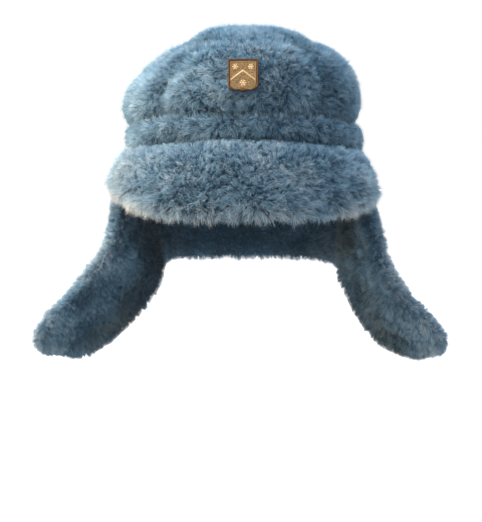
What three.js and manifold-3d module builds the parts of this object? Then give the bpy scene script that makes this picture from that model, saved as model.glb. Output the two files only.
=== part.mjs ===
// Military winter hat of blue-grey pile cloth, in millimetres, +Z up.
// The wearer looks along -Y and the wearer's left is +X. The origin is the middle of the rim.
// Every padded piece is a loft of closed sections, and each section is an outer and an inner rail.

import * as THREE from "three";
import { mergeVertices } from "three/addons/utils/BufferGeometryUtils.js";
import Module from "manifold-3d";

// Sizes of the head opening and of the walls
const HEAD_HALF_WIDTH = 82;
const HEAD_HALF_DEPTH = 102;
const PLAN_POWER = 2.25;
const CROWN_WALL = 18;
const RIM_WALL = 12;
const HEAD_EASE = 2;
const PIECE_GAP = 0.4;

// Heights: the crown meets the roll, and the roll ends, higher over the forehead than at the ears
const ROLL_TOP = 75;
const ROLL_BOTTOM = 48;
const FRONT_LIFT = { top: 14, bottom: 18 };
const FRONT_LIFT_POWER = 1.3;

// The roll's outermost reach, and its outer profile from the underside up to the valley under the crown.
// out is the share of the way from the rim wall or from the crown's foot to the roll's reach.
const ROLL_REACH = { left: 122, right: 119, front: 132, back: 137 };
const ROLL_PROFILE = [
  { name: "innerFoot", from: "rim", out: 0, up: 0 },
  { name: "underside", from: "rim", out: 0.55, up: 0 },
  { name: "lowerFace", from: "rim", out: 0.95, up: 0.2 },
  { name: "upperFace", from: "crown", out: 0.95, up: 0.65 },
  { name: "shoulder", from: "crown", out: 0.6, up: 0.92 },
  { name: "valley", from: "crown", out: -0.07, up: 1 },
];
const ROLL_LINING_TURNS_IN_FROM = 0.1;

// Crown profile from the apex down: height, and reach to each side
const CROWN_ROWS = [
  { at: 0.0, height: 177, left: 0, right: 0, front: 0, back: 0 },
  { at: 0.14, height: 175.5, left: 30, right: 26, front: 33, back: 36 },
  { at: 0.28, height: 169, left: 55, right: 45, front: 64, back: 64 },
  { at: 0.42, height: 158, left: 78, right: 62, front: 91, back: 87 },
  { at: 0.56, height: 145, left: 99, right: 84, front: 109, back: 104 },
  { at: 0.7, height: 129, left: 111, right: 101, front: 119, back: 117 },
  { at: 0.85, height: 106, left: 117, right: 118, front: 125, back: 126 },
  { at: 1.0, height: ROLL_TOP, left: 115, right: 119, front: 127, back: 130 },
];

// Seams of the crown: the top panel's edge, and the upright seams by their angle from the front
const TOP_SEAM_AT = 0.36;
const UPRIGHT_SEAMS = { frontRight: -42, frontLeft: 42, backLeft: 138, backRight: -138 };
const SEAM_DIP = 7;
const SEAM_DIP_ANGLE = 7;
const SEAM_DIP_START = 0.2;
const SEAM_DIP_EASE = 0.3;
const TOP_SEAM_DIP = 3.5;
const TOP_SEAM_SPREAD = 0.05;
const BASE_CURL = 6;
const BASE_CURL_START = 0.88;

// Unevenness of the pile, and the locks on free edges
const TUFT_HEIGHT = 1.5;
const TUFT_PITCH = 48;
const TUFTS_START = 0.6;
const TUFTS_END = 0.1;
const LOCK_LENGTH = 4;
const ARC_PER_DEGREE = 2.1;
const CROWN_PROFILE_LENGTH = 190;

// Visor: from under the roll down and forwards over the forehead
const VISOR_HALF_ANGLE = 80;
const VISOR_TUCK = 1;
const VISOR_ROOT = { side: 109, front: 124 };
const VISOR_EDGE = { side: 127, front: 172 };
const VISOR_EDGE_HEIGHT = -4;
const VISOR_END_RISE = 16;
const VISOR_END_RISE_POWER = 4;
const VISOR_END_ROUND_POWER = 8;
const VISOR_END_LEAST_ROUND = 0.02;
const VISOR_HALF_THICKNESS = 13;
const VISOR_ROOT_HALF_THICKNESS = 7;
const VISOR_ROOT_SHARE = 0.4;
const VISOR_CROWNING = { out: 6.3, up: 4.5 };
const VISOR_LENGTH = 90;
const VISOR_SHARES = [0, 0.14, 0.28, 0.42, 0.56, 0.7, 0.82, 0.92, 0.98, 1];
const EDGE_ROUND_FROM = 0.72;

// Ear flaps: each row is a section across the flap, from under the roll down to the tip
const WEARERS_RIGHT_FLAP = [
  { name: "tucked", x: 107, y: 28, z: 57, tilt: 0, door: 9, half: 46, thick: 5, bow: 6 },
  { name: "seam", x: 110, y: 27, z: 43, tilt: 0, door: 9, half: 52, thick: 11, bow: 6 },
  { name: "temple", x: 114, y: 24, z: 18, tilt: 2, door: 10, half: 52, thick: 12.5, bow: 6 },
  { name: "ear", x: 116, y: 18, z: -10, tilt: 4, door: 15, half: 50, thick: 13, bow: 6 },
  { name: "jaw", x: 113, y: 12, z: -38, tilt: 10, door: 26, half: 52, thick: 13, bow: 5 },
  { name: "bend", x: 115, y: 8, z: -61, tilt: 24, door: 36, half: 54, thick: 13, bow: 5 },
  { name: "upper", x: 128, y: 6, z: -83, tilt: 35, door: 40, half: 54, thick: 13, bow: 3 },
  { name: "middle", x: 147, y: 4, z: -106, tilt: 36, door: 40, half: 53, thick: 13, bow: 2 },
  { name: "lower", x: 167, y: 3, z: -126, tilt: 30, door: 40, half: 53, thick: 12.5, bow: 2 },
  { name: "end", x: 180, y: 2, z: -143, tilt: 18, door: 40, half: 48, thick: 11, bow: 1 },
  { name: "tip", x: 183, y: 2, z: -155, tilt: 14, door: 40, half: 32, thick: 5, bow: 0 },
];
const WEARERS_LEFT_FLAP = [
  { name: "tucked", x: 107, y: 28, z: 57, tilt: 0, door: 9, half: 46, thick: 5, bow: 6 },
  { name: "seam", x: 110, y: 27, z: 43, tilt: 0, door: 9, half: 52, thick: 11, bow: 6 },
  { name: "temple", x: 115, y: 24, z: 18, tilt: 2, door: 9, half: 52, thick: 12.5, bow: 6 },
  { name: "ear", x: 119, y: 18, z: -10, tilt: 5, door: 12, half: 50, thick: 13, bow: 6 },
  { name: "jaw", x: 121, y: 12, z: -38, tilt: 12, door: 18, half: 52, thick: 13, bow: 5 },
  { name: "bend", x: 123, y: 8, z: -62, tilt: 25, door: 24, half: 54, thick: 13, bow: 5 },
  { name: "upper", x: 132, y: 6, z: -84, tilt: 32, door: 27, half: 54, thick: 13, bow: 3 },
  { name: "middle", x: 145, y: 4, z: -106, tilt: 34, door: 31, half: 53, thick: 13, bow: 2 },
  { name: "lower", x: 163, y: 3, z: -127, tilt: 33, door: 33, half: 52, thick: 12.5, bow: 2 },
  { name: "end", x: 181, y: 2, z: -143, tilt: 28, door: 33, half: 46, thick: 11, bow: 1 },
  { name: "tip", x: 189, y: 2, z: -156, tilt: 24, door: 33, half: 30, thick: 5, bow: 0 },
];
const FLAP_SECTIONS = 25;
const FLAP_ROW_LENGTH = 20;
const FLAP_LOCKS_FROM = 0.52;
const FLAP_LOCK_SHARE = 0.6;
const FLAP_MOST_CORNER = 0.9;
const FLAP_SHARES = [-1, -0.975, -0.9, -0.76, -0.5, -0.2, 0.1, 0.4, 0.7, 0.9, 0.975, 1];
const FLAP_JOINS_NECK_FLAP_AT = 5.2;
const FLAP_JOIN_ACROSS = 0.78;

// Neck flap: a curtain round the back, from flap to flap
const NECK_FLAP_START_ANGLE = 122;
const NECK_FLAP_BLEND = 26;
const NECK_FLAP_ROOT = { side: 109, back: 126 };
const NECK_FLAP_FLARE = 10;
const NECK_FLAP_TOP = 56;
const NECK_FLAP_BOTTOM = -72;
const NECK_FLAP_HALF_THICKNESS = 11;
const NECK_FLAP_THIN = { root: 0.6, rootLength: 0.2, end: 0.7, endLength: 0.5 };
const NECK_FLAP_ROUND_FROM = 0.86;
const NECK_FLAP_LENGTH = 120;
const NECK_FLAP_SHARES = [0, 0.1, 0.25, 0.42, 0.6, 0.76, 0.89, 0.96, 1];

// Badge: a shield on the front panel, with a post soldered behind it
const BADGE_WIDTH = 29;
const BADGE_HEIGHT = 33;
const BADGE_PLATE = 1.8;
const BADGE_RELIEF = 0.9;
const BADGE_RIM_WIDTH = 1.6;
const BADGE_CORNER = 6;
const BADGE_POINT = 2.4;
const BADGE_POINT_HALF_WIDTH = 3;
const BADGE_AT = 0.77;
const BADGE_PROUD = 0.6;
const BADGE_POST_RADIUS = 1.6;
const BADGE_POST_LENGTH = 9;
const CHEVRON = { inset: 1, endHeight: -7, peakHeight: 3.5, width: 4.3, relief: 0.8 };
const ROSETTE = { radius: 2.2, footRadius: 3.2, relief: 0.8 };
const ROSETTE_PLACES = [
  { x: -8, y: 8 },
  { x: 8, y: 8 },
  { x: 0, y: -8.5 },
];

const COLUMNS = 60;
const DEGREE = Math.PI / 180;

const pileBlue = new THREE.MeshStandardMaterial({ color: 0x4d7390, roughness: 0.95, metalness: 0 });
const giltBronze = new THREE.MeshStandardMaterial({ color: 0xb8945e, roughness: 0.38, metalness: 1 });

const wasm = await Module();
wasm.setup();

const mix = (a, b, share) => a + (b - a) * share;
const smooth = (value) => {
  const x = Math.min(1, Math.max(0, value));
  return x * x * (3 - 2 * x);
};

// One column of a table at a place between its rows, on a curve through them (Catmull and Rom).
function column(rows, name, place) {
  const last = rows.length - 1;
  const i = Math.min(last - 1, Math.max(0, Math.floor(place)));
  const s = place - i;
  const before = rows[Math.max(0, i - 1)][name];
  const here = rows[i][name];
  const next = rows[i + 1][name];
  const after = rows[Math.min(last, i + 2)][name];
  const startSlope = (next - before) / 2;
  const endSlope = (after - here) / 2;
  const s2 = s * s;
  const s3 = s2 * s;
  return (
    here * (2 * s3 - 3 * s2 + 1) +
    startSlope * (s3 - 2 * s2 + s) +
    next * (3 * s2 - 2 * s3) +
    endSlope * (s3 - s2)
  );
}

// The crown table's rows are unevenly spaced, so a place down the profile becomes a place in the table.
function crownPlace(at) {
  const i = Math.max(1, CROWN_ROWS.findIndex((row) => row.at >= at));
  const low = CROWN_ROWS[i - 1].at;
  return i - 1 + (at - low) / (CROWN_ROWS[i].at - low);
}

// A rounded plan outline: its reach differs to the left, right, front and back.
function planPoint(reach, angle, height) {
  const side = Math.sin(angle);
  const front = Math.cos(angle);
  const power = 2 / PLAN_POWER;
  const halfX = side > 0 ? reach.left : reach.right;
  const halfY = front > 0 ? reach.front : reach.back;
  return new THREE.Vector3(
    halfX * Math.sign(side) * Math.pow(Math.abs(side), power),
    -halfY * Math.sign(front) * Math.pow(Math.abs(front), power),
    height,
  );
}

const grown = (reach, by) => ({
  left: reach.left + by,
  right: reach.right + by,
  front: reach.front + by,
  back: reach.back + by,
});

const between = (a, b, share) => ({
  left: mix(a.left, b.left, share),
  right: mix(a.right, b.right, share),
  front: mix(a.front, b.front, share),
  back: mix(a.back, b.back, share),
});

const HEAD = {
  left: HEAD_HALF_WIDTH,
  right: HEAD_HALF_WIDTH,
  front: HEAD_HALF_DEPTH,
  back: HEAD_HALF_DEPTH,
};

// How far the roll's top or bottom is lifted at an angle from the front.
const lifted = (by, angle) => by * Math.pow(Math.max(0, Math.cos(angle)), FRONT_LIFT_POWER);

// Soft unevenness of the pile: two crossed waves over the surface.
function tufts(along, down) {
  const turn = (2 * Math.PI) / TUFT_PITCH;
  const first = Math.sin(along * turn + 1.3 * Math.sin(down * turn * 0.7));
  const second = Math.sin(down * turn * 1.15 + 1.1 * Math.sin(along * turn * 0.8));
  return TUFT_HEIGHT * first * second;
}

// The share of the thickness that is left near a free edge, as a quarter round from a place to 1.
function roundedTail(share, from) {
  const into = Math.max(0, (share - from) / (1 - from));
  return Math.sqrt(Math.max(0, 1 - into * into));
}

// A closed body from sections. Each section is an outer and an inner rail of equal length.
// The ends are closed by a ladder of faces between the rails, unless the sections form a ring.
function loft(sections, isRing) {
  const triangles = [];
  const quad = (a, b, c, d) => triangles.push([a, b, c], [a, c, d]);
  const loops = sections.map((s) => [...s.outer, ...s.inner.slice().reverse()]);
  const steps = isRing ? loops.length : loops.length - 1;
  for (let i = 0; i < steps; i += 1) {
    const here = loops[i];
    const next = loops[(i + 1) % loops.length];
    here.forEach((point, j) => {
      const k = (j + 1) % here.length;
      quad(point, next[j], next[k], here[k]);
    });
  }
  if (!isRing) {
    const first = sections[0];
    const final = sections[sections.length - 1];
    for (let j = 0; j < first.outer.length - 1; j += 1) {
      quad(first.outer[j], first.outer[j + 1], first.inner[j + 1], first.inner[j]);
      quad(final.outer[j + 1], final.outer[j], final.inner[j], final.inner[j + 1]);
    }
  }
  return solid(triangles);
}

// Triangles to a manifold solid with its faces pointing out. Triangles without area are dropped.
function solid(triangles) {
  const positions = triangles.flat().flatMap((p) => [p.x, p.y, p.z]);
  const loose = new THREE.BufferGeometry();
  loose.setAttribute("position", new THREE.Float32BufferAttribute(positions, 3));
  return solidOf(loose);
}

function solidOf(geometry) {
  const bare = geometry.clone();
  bare.deleteAttribute("normal");
  bare.deleteAttribute("uv");
  const merged = mergeVertices(bare, 1e-3);
  const index = Array.from(merged.index.array);
  const kept = [];
  for (let i = 0; i < index.length; i += 3) {
    const [a, b, c] = index.slice(i, i + 3);
    if (a !== b && b !== c && c !== a) kept.push(a, b, c);
  }
  const vertProperties = new Float32Array(merged.attributes.position.array);
  const volume = signedVolume(vertProperties, kept);
  if (volume < 0) kept.reverse();
  return new wasm.Manifold(new wasm.Mesh({ numProp: 3, vertProperties, triVerts: new Uint32Array(kept) }));
}

function signedVolume(positions, index) {
  let sum = 0;
  const corner = (i) => new THREE.Vector3().fromArray(positions, 3 * index[i]);
  for (let i = 0; i < index.length; i += 3) {
    sum += corner(i).dot(corner(i + 1).cross(corner(i + 2)));
  }
  return sum / 6;
}

function meshOf(name, body, material) {
  const { vertProperties, triVerts } = body.getMesh();
  const geometry = new THREE.BufferGeometry();
  geometry.setAttribute("position", new THREE.Float32BufferAttribute(vertProperties, 3));
  geometry.setIndex(new THREE.Uint32BufferAttribute(triVerts, 1));
  geometry.computeVertexNormals();
  const mesh = new THREE.Mesh(geometry, material);
  mesh.name = name;
  return mesh;
}

// Crown shell: a point of its outer or inner face
function crownDips(at, degrees) {
  const seams = Object.values(UPRIGHT_SEAMS);
  const upright = seams.reduce((sum, seam) => {
    return sum + Math.exp(-(((degrees - seam) / SEAM_DIP_ANGLE) ** 2));
  }, 0);
  const away = Math.exp(-(((at - TOP_SEAM_AT) / TOP_SEAM_SPREAD) ** 2));
  const curl = smooth((at - BASE_CURL_START) / (1 - BASE_CURL_START));
  return {
    inward: SEAM_DIP * upright * smooth((at - SEAM_DIP_START) / SEAM_DIP_EASE) + BASE_CURL * curl * curl,
    down: TOP_SEAM_DIP * away,
  };
}

function crownPoint(at, degrees, isInner) {
  const angle = degrees * DEGREE;
  const place = crownPlace(at);
  const lift = lifted(FRONT_LIFT.top, angle) * at * at;
  const steepness = 90 * (1 - at) * DEGREE;
  const reach = {};
  for (const side of ["left", "right", "front", "back"]) {
    reach[side] = column(CROWN_ROWS, side, place);
  }
  const height = column(CROWN_ROWS, "height", place) + lift;
  if (isInner) {
    const inward = Math.min(CROWN_WALL * Math.cos(steepness), reach.left);
    return planPoint(grown(reach, -inward), angle, height - CROWN_WALL * Math.sin(steepness));
  }
  const dips = crownDips(at, degrees);
  const bump =
    tufts(degrees * ARC_PER_DEGREE, at * CROWN_PROFILE_LENGTH) *
    smooth(at / TUFTS_START) *
    smooth((1 - at) / TUFTS_END);
  const push = Math.max(-reach.left, bump * Math.cos(steepness) - dips.inward);
  return planPoint(grown(reach, push), angle, height - dips.down + bump * Math.sin(steepness));
}

function crownSection(fromAt, toAt, steps, degrees) {
  const places = Array.from({ length: steps + 1 }, (_, i) => mix(fromAt, toAt, i / steps));
  return {
    outer: places.map((at) => crownPoint(at, degrees, false)),
    inner: places.map((at) => crownPoint(at, degrees, true)),
  };
}

const SEAM_HALF_GAP_AT = 0.003;
const SEAM_HALF_GAP_DEGREES = 0.13;

function crownTop() {
  const angles = Array.from({ length: COLUMNS }, (_, i) => (360 * i) / COLUMNS - 180);
  const sections = angles.map((degrees) => crownSection(0, TOP_SEAM_AT - SEAM_HALF_GAP_AT, 6, degrees));
  return loft(sections, true);
}

function crownPanel(fromDegrees, toDegrees) {
  const start = fromDegrees + SEAM_HALF_GAP_DEGREES;
  const end = toDegrees - SEAM_HALF_GAP_DEGREES;
  const steps = Math.round((toDegrees - fromDegrees) / (360 / COLUMNS));
  const sections = [];
  for (let i = 0; i <= steps; i += 1) {
    const onGrid = mix(fromDegrees, toDegrees, i / steps);
    const degrees = Math.min(end, Math.max(start, onGrid));
    const turned = degrees > 180 ? degrees - 360 : degrees;
    sections.push(crownSection(TOP_SEAM_AT + SEAM_HALF_GAP_AT, 1, 9, turned));
  }
  return loft(sections, false);
}

// The roll: a ring round the crown's foot. Its lining turns in from the rim to the crown's wall.
function rollSection(degrees, grow) {
  const angle = degrees * DEGREE;
  const top = ROLL_TOP + lifted(FRONT_LIFT.top, angle) - PIECE_GAP + grow;
  const bottom = ROLL_BOTTOM + lifted(FRONT_LIFT.bottom, angle) - grow;
  const crownFoot = CROWN_ROWS[CROWN_ROWS.length - 1];
  const bump = tufts(degrees * ARC_PER_DEGREE, (ROLL_TOP + ROLL_BOTTOM) / 2);
  const reach = grown(ROLL_REACH, bump + grow);
  const starts = {
    rim: grown(HEAD, HEAD_EASE + RIM_WALL + grow),
    crown: grown(crownFoot, -BASE_CURL),
  };
  const linings = { foot: grown(HEAD, HEAD_EASE), top: grown(crownFoot, -CROWN_WALL) };
  const outer = ROLL_PROFILE.map((row) => {
    return planPoint(between(starts[row.from], reach, row.out), angle, mix(bottom, top, row.up));
  });
  const inner = ROLL_PROFILE.map((_, i) => {
    const up = i / (ROLL_PROFILE.length - 1);
    const turnedIn = smooth((up - ROLL_LINING_TURNS_IN_FROM) / (1 - ROLL_LINING_TURNS_IN_FROM));
    return planPoint(between(linings.foot, linings.top, turnedIn), angle, mix(bottom, top, up));
  });
  return { outer, inner };
}

// The rim wall: a plain ring that goes down from the roll inside the visor and the flaps.
function rimSection(degrees, grow) {
  const angle = degrees * DEGREE;
  const top = ROLL_BOTTOM + lifted(FRONT_LIFT.bottom, angle) - PIECE_GAP + grow;
  const outside = grown(HEAD, HEAD_EASE + RIM_WALL + grow);
  const inside = grown(HEAD, HEAD_EASE);
  const rail = (reach) => [planPoint(reach, angle, -grow), planPoint(reach, angle, top)];
  return { outer: rail(outside), inner: rail(inside) };
}

function ring(section, grow) {
  const angles = Array.from({ length: COLUMNS }, (_, i) => (360 * i) / COLUMNS - 180);
  return loft(angles.map((degrees) => section(degrees, grow)), true);
}

// Visor: its thickness is laid off square to a crowned line from under the roll to the free edge.
function visorSection(degrees, isLong) {
  const angle = degrees * DEGREE;
  const outward = Math.abs(degrees) / VISOR_HALF_ANGLE;
  const endRound = Math.sqrt(Math.max(VISOR_END_LEAST_ROUND, 1 - outward ** VISOR_END_ROUND_POWER));
  const rise = VISOR_END_RISE * outward ** VISOR_END_RISE_POWER;
  const rootHeight = ROLL_BOTTOM + lifted(FRONT_LIFT.bottom, angle) + VISOR_TUCK;
  const lock = isLong ? LOCK_LENGTH : 0;
  const edgeHeight = VISOR_EDGE_HEIGHT + rise - lock;
  const root = { left: VISOR_ROOT.side, right: VISOR_ROOT.side, front: VISOR_ROOT.front, back: 0 };
  const edge = { left: VISOR_EDGE.side, right: VISOR_EDGE.side, front: VISOR_EDGE.front, back: 0 };
  const onLine = (share) => {
    const bulge = Math.sin(Math.PI * share) * endRound;
    return planPoint(
      grown(between(root, edge, share), bulge * VISOR_CROWNING.out),
      angle,
      mix(rootHeight, edgeHeight, share) + bulge * VISOR_CROWNING.up,
    );
  };
  const radial = planPoint(grown(edge, 1), angle, 0).normalize();
  const outer = [];
  const inner = [];
  const step = 0.02;
  VISOR_SHARES.forEach((share) => {
    const point = onLine(share);
    const run = onLine(Math.min(1, share + step)).sub(onLine(Math.max(0, share - step)));
    const square = new THREE.Vector3(-run.z * radial.x, -run.z * radial.y, run.dot(radial)).normalize();
    const spread = smooth(share / VISOR_ROOT_SHARE);
    const full = mix(VISOR_ROOT_HALF_THICKNESS, VISOR_HALF_THICKNESS, spread);
    const tail = roundedTail(share, EDGE_ROUND_FROM);
    const half = full * tail * endRound;
    const bump = tufts(degrees * ARC_PER_DEGREE, share * VISOR_LENGTH) * tail * spread;
    outer.push(point.clone().addScaledVector(square, half + bump));
    inner.push(point.clone().addScaledVector(square, -half));
  });
  return { outer, inner };
}

function visor() {
  const steps = 32;
  const sections = [];
  for (let i = 0; i <= steps; i += 1) {
    const degrees = mix(-VISOR_HALF_ANGLE, VISOR_HALF_ANGLE, i / steps);
    sections.push(visorSection(degrees, i % 2 === 1));
  }
  return loft(sections, false);
}

// Ear flap: the middle of a section, and its directions across and square to the flap
function flapFrame(rows, place) {
  const value = (name) => column(rows, name, place);
  const tilt = value("tilt") * DEGREE;
  const door = value("door") * DEGREE;
  const outwards = new THREE.Vector3(Math.cos(tilt), 0, Math.sin(tilt));
  const backwards = new THREE.Vector3(0, 1, 0);
  return {
    centre: new THREE.Vector3(value("x"), value("y"), value("z")),
    across: backwards.clone().multiplyScalar(Math.cos(door)).addScaledVector(outwards, -Math.sin(door)),
    square: outwards.clone().multiplyScalar(Math.cos(door)).addScaledVector(backwards, Math.sin(door)),
    half: value("half"),
    thick: value("thick"),
    bow: value("bow"),
  };
}

function flapPoint(frame, share, lift) {
  return frame.centre
    .clone()
    .addScaledVector(frame.across, share * frame.half)
    .addScaledVector(frame.square, lift - frame.bow * share * share);
}

function flapSection(rows, place, lock, grow) {
  const frame = flapFrame(rows, place);
  const half = frame.half + lock + grow;
  const thick = frame.thick + grow;
  const cornerShare = Math.min(FLAP_MOST_CORNER, thick / half);
  const wide = { ...frame, half };
  const rail = (side) =>
    FLAP_SHARES.map((share) => {
      const round = roundedTail(Math.abs(share), 1 - cornerShare);
      const bump = tufts(share * frame.half, place * FLAP_ROW_LENGTH + side * frame.thick) * round;
      return flapPoint(wide, share, side * (thick + bump) * round);
    });
  return { outer: rail(1), inner: rail(-1) };
}

function earFlap(rows, grow) {
  const last = rows.length - 1;
  const sections = [];
  for (let i = 0; i <= FLAP_SECTIONS; i += 1) {
    const place = (last * i) / FLAP_SECTIONS;
    const hasLock = i > FLAP_SECTIONS * FLAP_LOCKS_FROM && i % 2 === 1;
    const lock = hasLock ? LOCK_LENGTH * FLAP_LOCK_SHARE : 0;
    sections.push(flapSection(rows, place, lock, grow));
  }
  return loft(sections, false);
}

// Neck flap: upright columns on the back of the plan outline, led over to the flaps' back edges
function neckFlapLine(degrees, share) {
  const angle = degrees * DEGREE;
  const flare = NECK_FLAP_FLARE * share;
  const { side, back } = NECK_FLAP_ROOT;
  const reach = grown({ left: side, right: side, front: back, back }, flare);
  const free = planPoint(reach, angle, mix(NECK_FLAP_TOP, NECK_FLAP_BOTTOM, share));
  const away = (Math.abs(degrees) - NECK_FLAP_START_ANGLE) / NECK_FLAP_BLEND;
  const rows = degrees > 0 ? WEARERS_LEFT_FLAP : WEARERS_RIGHT_FLAP;
  const joined = flapPoint(flapFrame(rows, FLAP_JOINS_NECK_FLAP_AT * share), FLAP_JOIN_ACROSS, 0);
  if (degrees < 0) joined.x = -joined.x;
  return joined.lerp(free, smooth(away));
}

function neckFlapSection(degrees, isLong) {
  const { root, rootLength, end, endLength } = NECK_FLAP_THIN;
  const outer = [];
  const inner = [];
  const lock = isLong ? LOCK_LENGTH / (NECK_FLAP_TOP - NECK_FLAP_BOTTOM) : 0;
  NECK_FLAP_SHARES.forEach((share) => {
    const point = neckFlapLine(degrees, share === 1 ? share + lock : share);
    const aside = neckFlapLine(degrees + 1, share).sub(neckFlapLine(degrees - 1, share));
    const square = new THREE.Vector3(aside.y, -aside.x, 0).normalize();
    const tail = roundedTail(share, NECK_FLAP_ROUND_FROM);
    const away = (Math.abs(degrees) - NECK_FLAP_START_ANGLE) / NECK_FLAP_BLEND;
    const head = mix(root, 1, smooth(share / rootLength)) * mix(end, 1, smooth(away / endLength));
    const bump = tufts(degrees * ARC_PER_DEGREE, share * NECK_FLAP_LENGTH) * tail * head * smooth(away);
    outer.push(point.clone().addScaledVector(square, NECK_FLAP_HALF_THICKNESS * tail * head + bump));
    inner.push(point.clone().addScaledVector(square, -NECK_FLAP_HALF_THICKNESS * tail * head));
  });
  return { outer, inner };
}

function neckFlap() {
  const start = NECK_FLAP_START_ANGLE;
  const steps = 22;
  const sections = [];
  for (let i = 0; i <= steps; i += 1) {
    const degrees = mix(start, 360 - start, i / steps);
    sections.push(neckFlapSection(degrees > 180 ? degrees - 360 : degrees, i % 2 === 1));
  }
  return loft(sections, false);
}

// Badge: a shield outline with straight sides, round lower corners and a small point
function shieldShape(inset) {
  const half = BADGE_WIDTH / 2 - inset;
  const top = BADGE_HEIGHT / 2 - inset;
  const low = -BADGE_HEIGHT / 2 + BADGE_POINT + inset;
  const corner = BADGE_CORNER - inset;
  const shape = new THREE.Shape();
  shape.moveTo(-half, top);
  shape.lineTo(-half, low + corner);
  shape.quadraticCurveTo(-half, low, -half + corner, low);
  shape.lineTo(-BADGE_POINT_HALF_WIDTH, low);
  shape.lineTo(0, low - BADGE_POINT);
  shape.lineTo(BADGE_POINT_HALF_WIDTH, low);
  shape.lineTo(half - corner, low);
  shape.quadraticCurveTo(half, low, half, low + corner);
  shape.lineTo(half, top);
  shape.closePath();
  return shape;
}

function slab(shape, from, to) {
  const geometry = new THREE.ExtrudeGeometry(shape, {
    depth: to - from,
    bevelEnabled: false,
    curveSegments: 4,
  });
  return solidOf(geometry.translate(0, 0, from));
}

function badgeParts() {
  const plate = slab(shieldShape(0), 0, BADGE_PLATE);
  const top = BADGE_PLATE + BADGE_RELIEF;
  const rim = slab(shieldShape(0), BADGE_PLATE / 2, top).subtract(
    slab(shieldShape(BADGE_RIM_WIDTH), 0, top + 1),
  );
  const end = BADGE_WIDTH / 2 - CHEVRON.inset;
  const { endHeight, peakHeight, width } = CHEVRON;
  const chevron = new THREE.Shape();
  chevron.moveTo(-end, endHeight);
  chevron.lineTo(0, peakHeight);
  chevron.lineTo(end, endHeight);
  chevron.lineTo(end, endHeight + width);
  chevron.lineTo(0, peakHeight + width);
  chevron.lineTo(-end, endHeight + width);
  chevron.closePath();
  const bar = slab(chevron, BADGE_PLATE / 2, BADGE_PLATE + BADGE_RELIEF * CHEVRON.relief);
  const bossHeight = BADGE_PLATE / 2 + BADGE_RELIEF * ROSETTE.relief;
  const rosettes = ROSETTE_PLACES.map(({ x, y }) => {
    const boss = new THREE.CylinderGeometry(ROSETTE.radius, ROSETTE.footRadius, bossHeight, 10);
    boss.rotateX(Math.PI / 2);
    return solidOf(boss.translate(x, y, (BADGE_PLATE + bossHeight) / 2));
  });
  const post = new THREE.CylinderGeometry(BADGE_POST_RADIUS, BADGE_POST_RADIUS, BADGE_POST_LENGTH + 1, 12);
  post.rotateX(Math.PI / 2);
  post.translate(0, 0, 1 - (BADGE_POST_LENGTH + 1) / 2);
  return rosettes.reduce((sum, boss) => sum.add(boss), plate.add(rim).add(bar)).add(solidOf(post));
}

// The pocket that the badge presses into the pile, with room for its post
function badgePocket() {
  const plate = slab(shieldShape(-PIECE_GAP), -PIECE_GAP, 20);
  const radius = BADGE_POST_RADIUS + PIECE_GAP;
  const depth = BADGE_POST_LENGTH + PIECE_GAP + 1;
  const hole = new THREE.CylinderGeometry(radius, radius, depth, 12);
  hole.rotateX(Math.PI / 2);
  hole.translate(0, 0, 1 - depth / 2);
  return plate.add(solidOf(hole));
}

// Where the badge lies: on the front panel, square to its slope
function badgePlacement() {
  const middle = crownPoint(BADGE_AT, 0, false);
  const above = crownPoint(BADGE_AT - 0.1, 0, false);
  const below = crownPoint(BADGE_AT + 0.1, 0, false);
  const lean = Math.atan2(above.y - below.y, above.z - below.z);
  const turn = new THREE.Matrix4().makeRotationX(Math.PI / 2 - lean);
  const outward = new THREE.Vector3(0, 0, 1).transformDirection(turn);
  middle.addScaledVector(outward, BADGE_PROUD - BADGE_PLATE);
  return new THREE.Matrix4().makeTranslation(middle.x, middle.y, middle.z).multiply(turn);
}

const matrixOf = (placement) => Array.from(placement.elements);
const placement = badgePlacement();
const badge = badgeParts().transform(matrixOf(placement));
const pocket = badgePocket().transform(matrixOf(placement));

const mirrored = (body) => body.scale([-1, 1, 1]);
const clearance = ring(rollSection, PIECE_GAP).add(ring(rimSection, PIECE_GAP));
const flapLeft = earFlap(WEARERS_LEFT_FLAP, 0).subtract(clearance);
const flapRight = mirrored(earFlap(WEARERS_RIGHT_FLAP, 0)).subtract(clearance);
const flapClearances = earFlap(WEARERS_LEFT_FLAP, PIECE_GAP + 0.2).add(
  mirrored(earFlap(WEARERS_RIGHT_FLAP, PIECE_GAP + 0.2)),
);

const hat = new THREE.Group();
hat.name = "winter_hat";
hat.add(meshOf("crown_top", crownTop(), pileBlue));
const { frontRight, frontLeft, backLeft, backRight } = UPRIGHT_SEAMS;
hat.add(meshOf("crown_front", crownPanel(frontRight, frontLeft).subtract(pocket), pileBlue));
hat.add(meshOf("crown_side_left", crownPanel(frontLeft, backLeft), pileBlue));
hat.add(meshOf("crown_side_right", crownPanel(backRight, frontRight), pileBlue));
hat.add(meshOf("crown_back", crownPanel(backLeft, backRight + 360), pileBlue));
hat.add(meshOf("crown_band", ring(rollSection, 0), pileBlue));
hat.add(meshOf("rim_wall", ring(rimSection, 0), pileBlue));
hat.add(meshOf("visor", visor().subtract(clearance), pileBlue));
hat.add(meshOf("ear_flap_left", flapLeft, pileBlue));
hat.add(meshOf("ear_flap_right", flapRight, pileBlue));
hat.add(meshOf("neck_flap", neckFlap().subtract(clearance).subtract(flapClearances), pileBlue));
hat.add(meshOf("badge", badge, giltBronze));

export default hat;
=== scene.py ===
"""Military winter hat of blue-grey pile cloth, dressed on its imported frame.

Every soft piece is a padded form of backing cloth with the pile grown on it as fine blades.
Sizes are in millimetres in the classes, and become metres when a mesh is made.
The wearer looks along -Y, and the wearer's left is +X.
"""

import logging
import math
from dataclasses import dataclass, field
from enum import Enum

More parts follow.
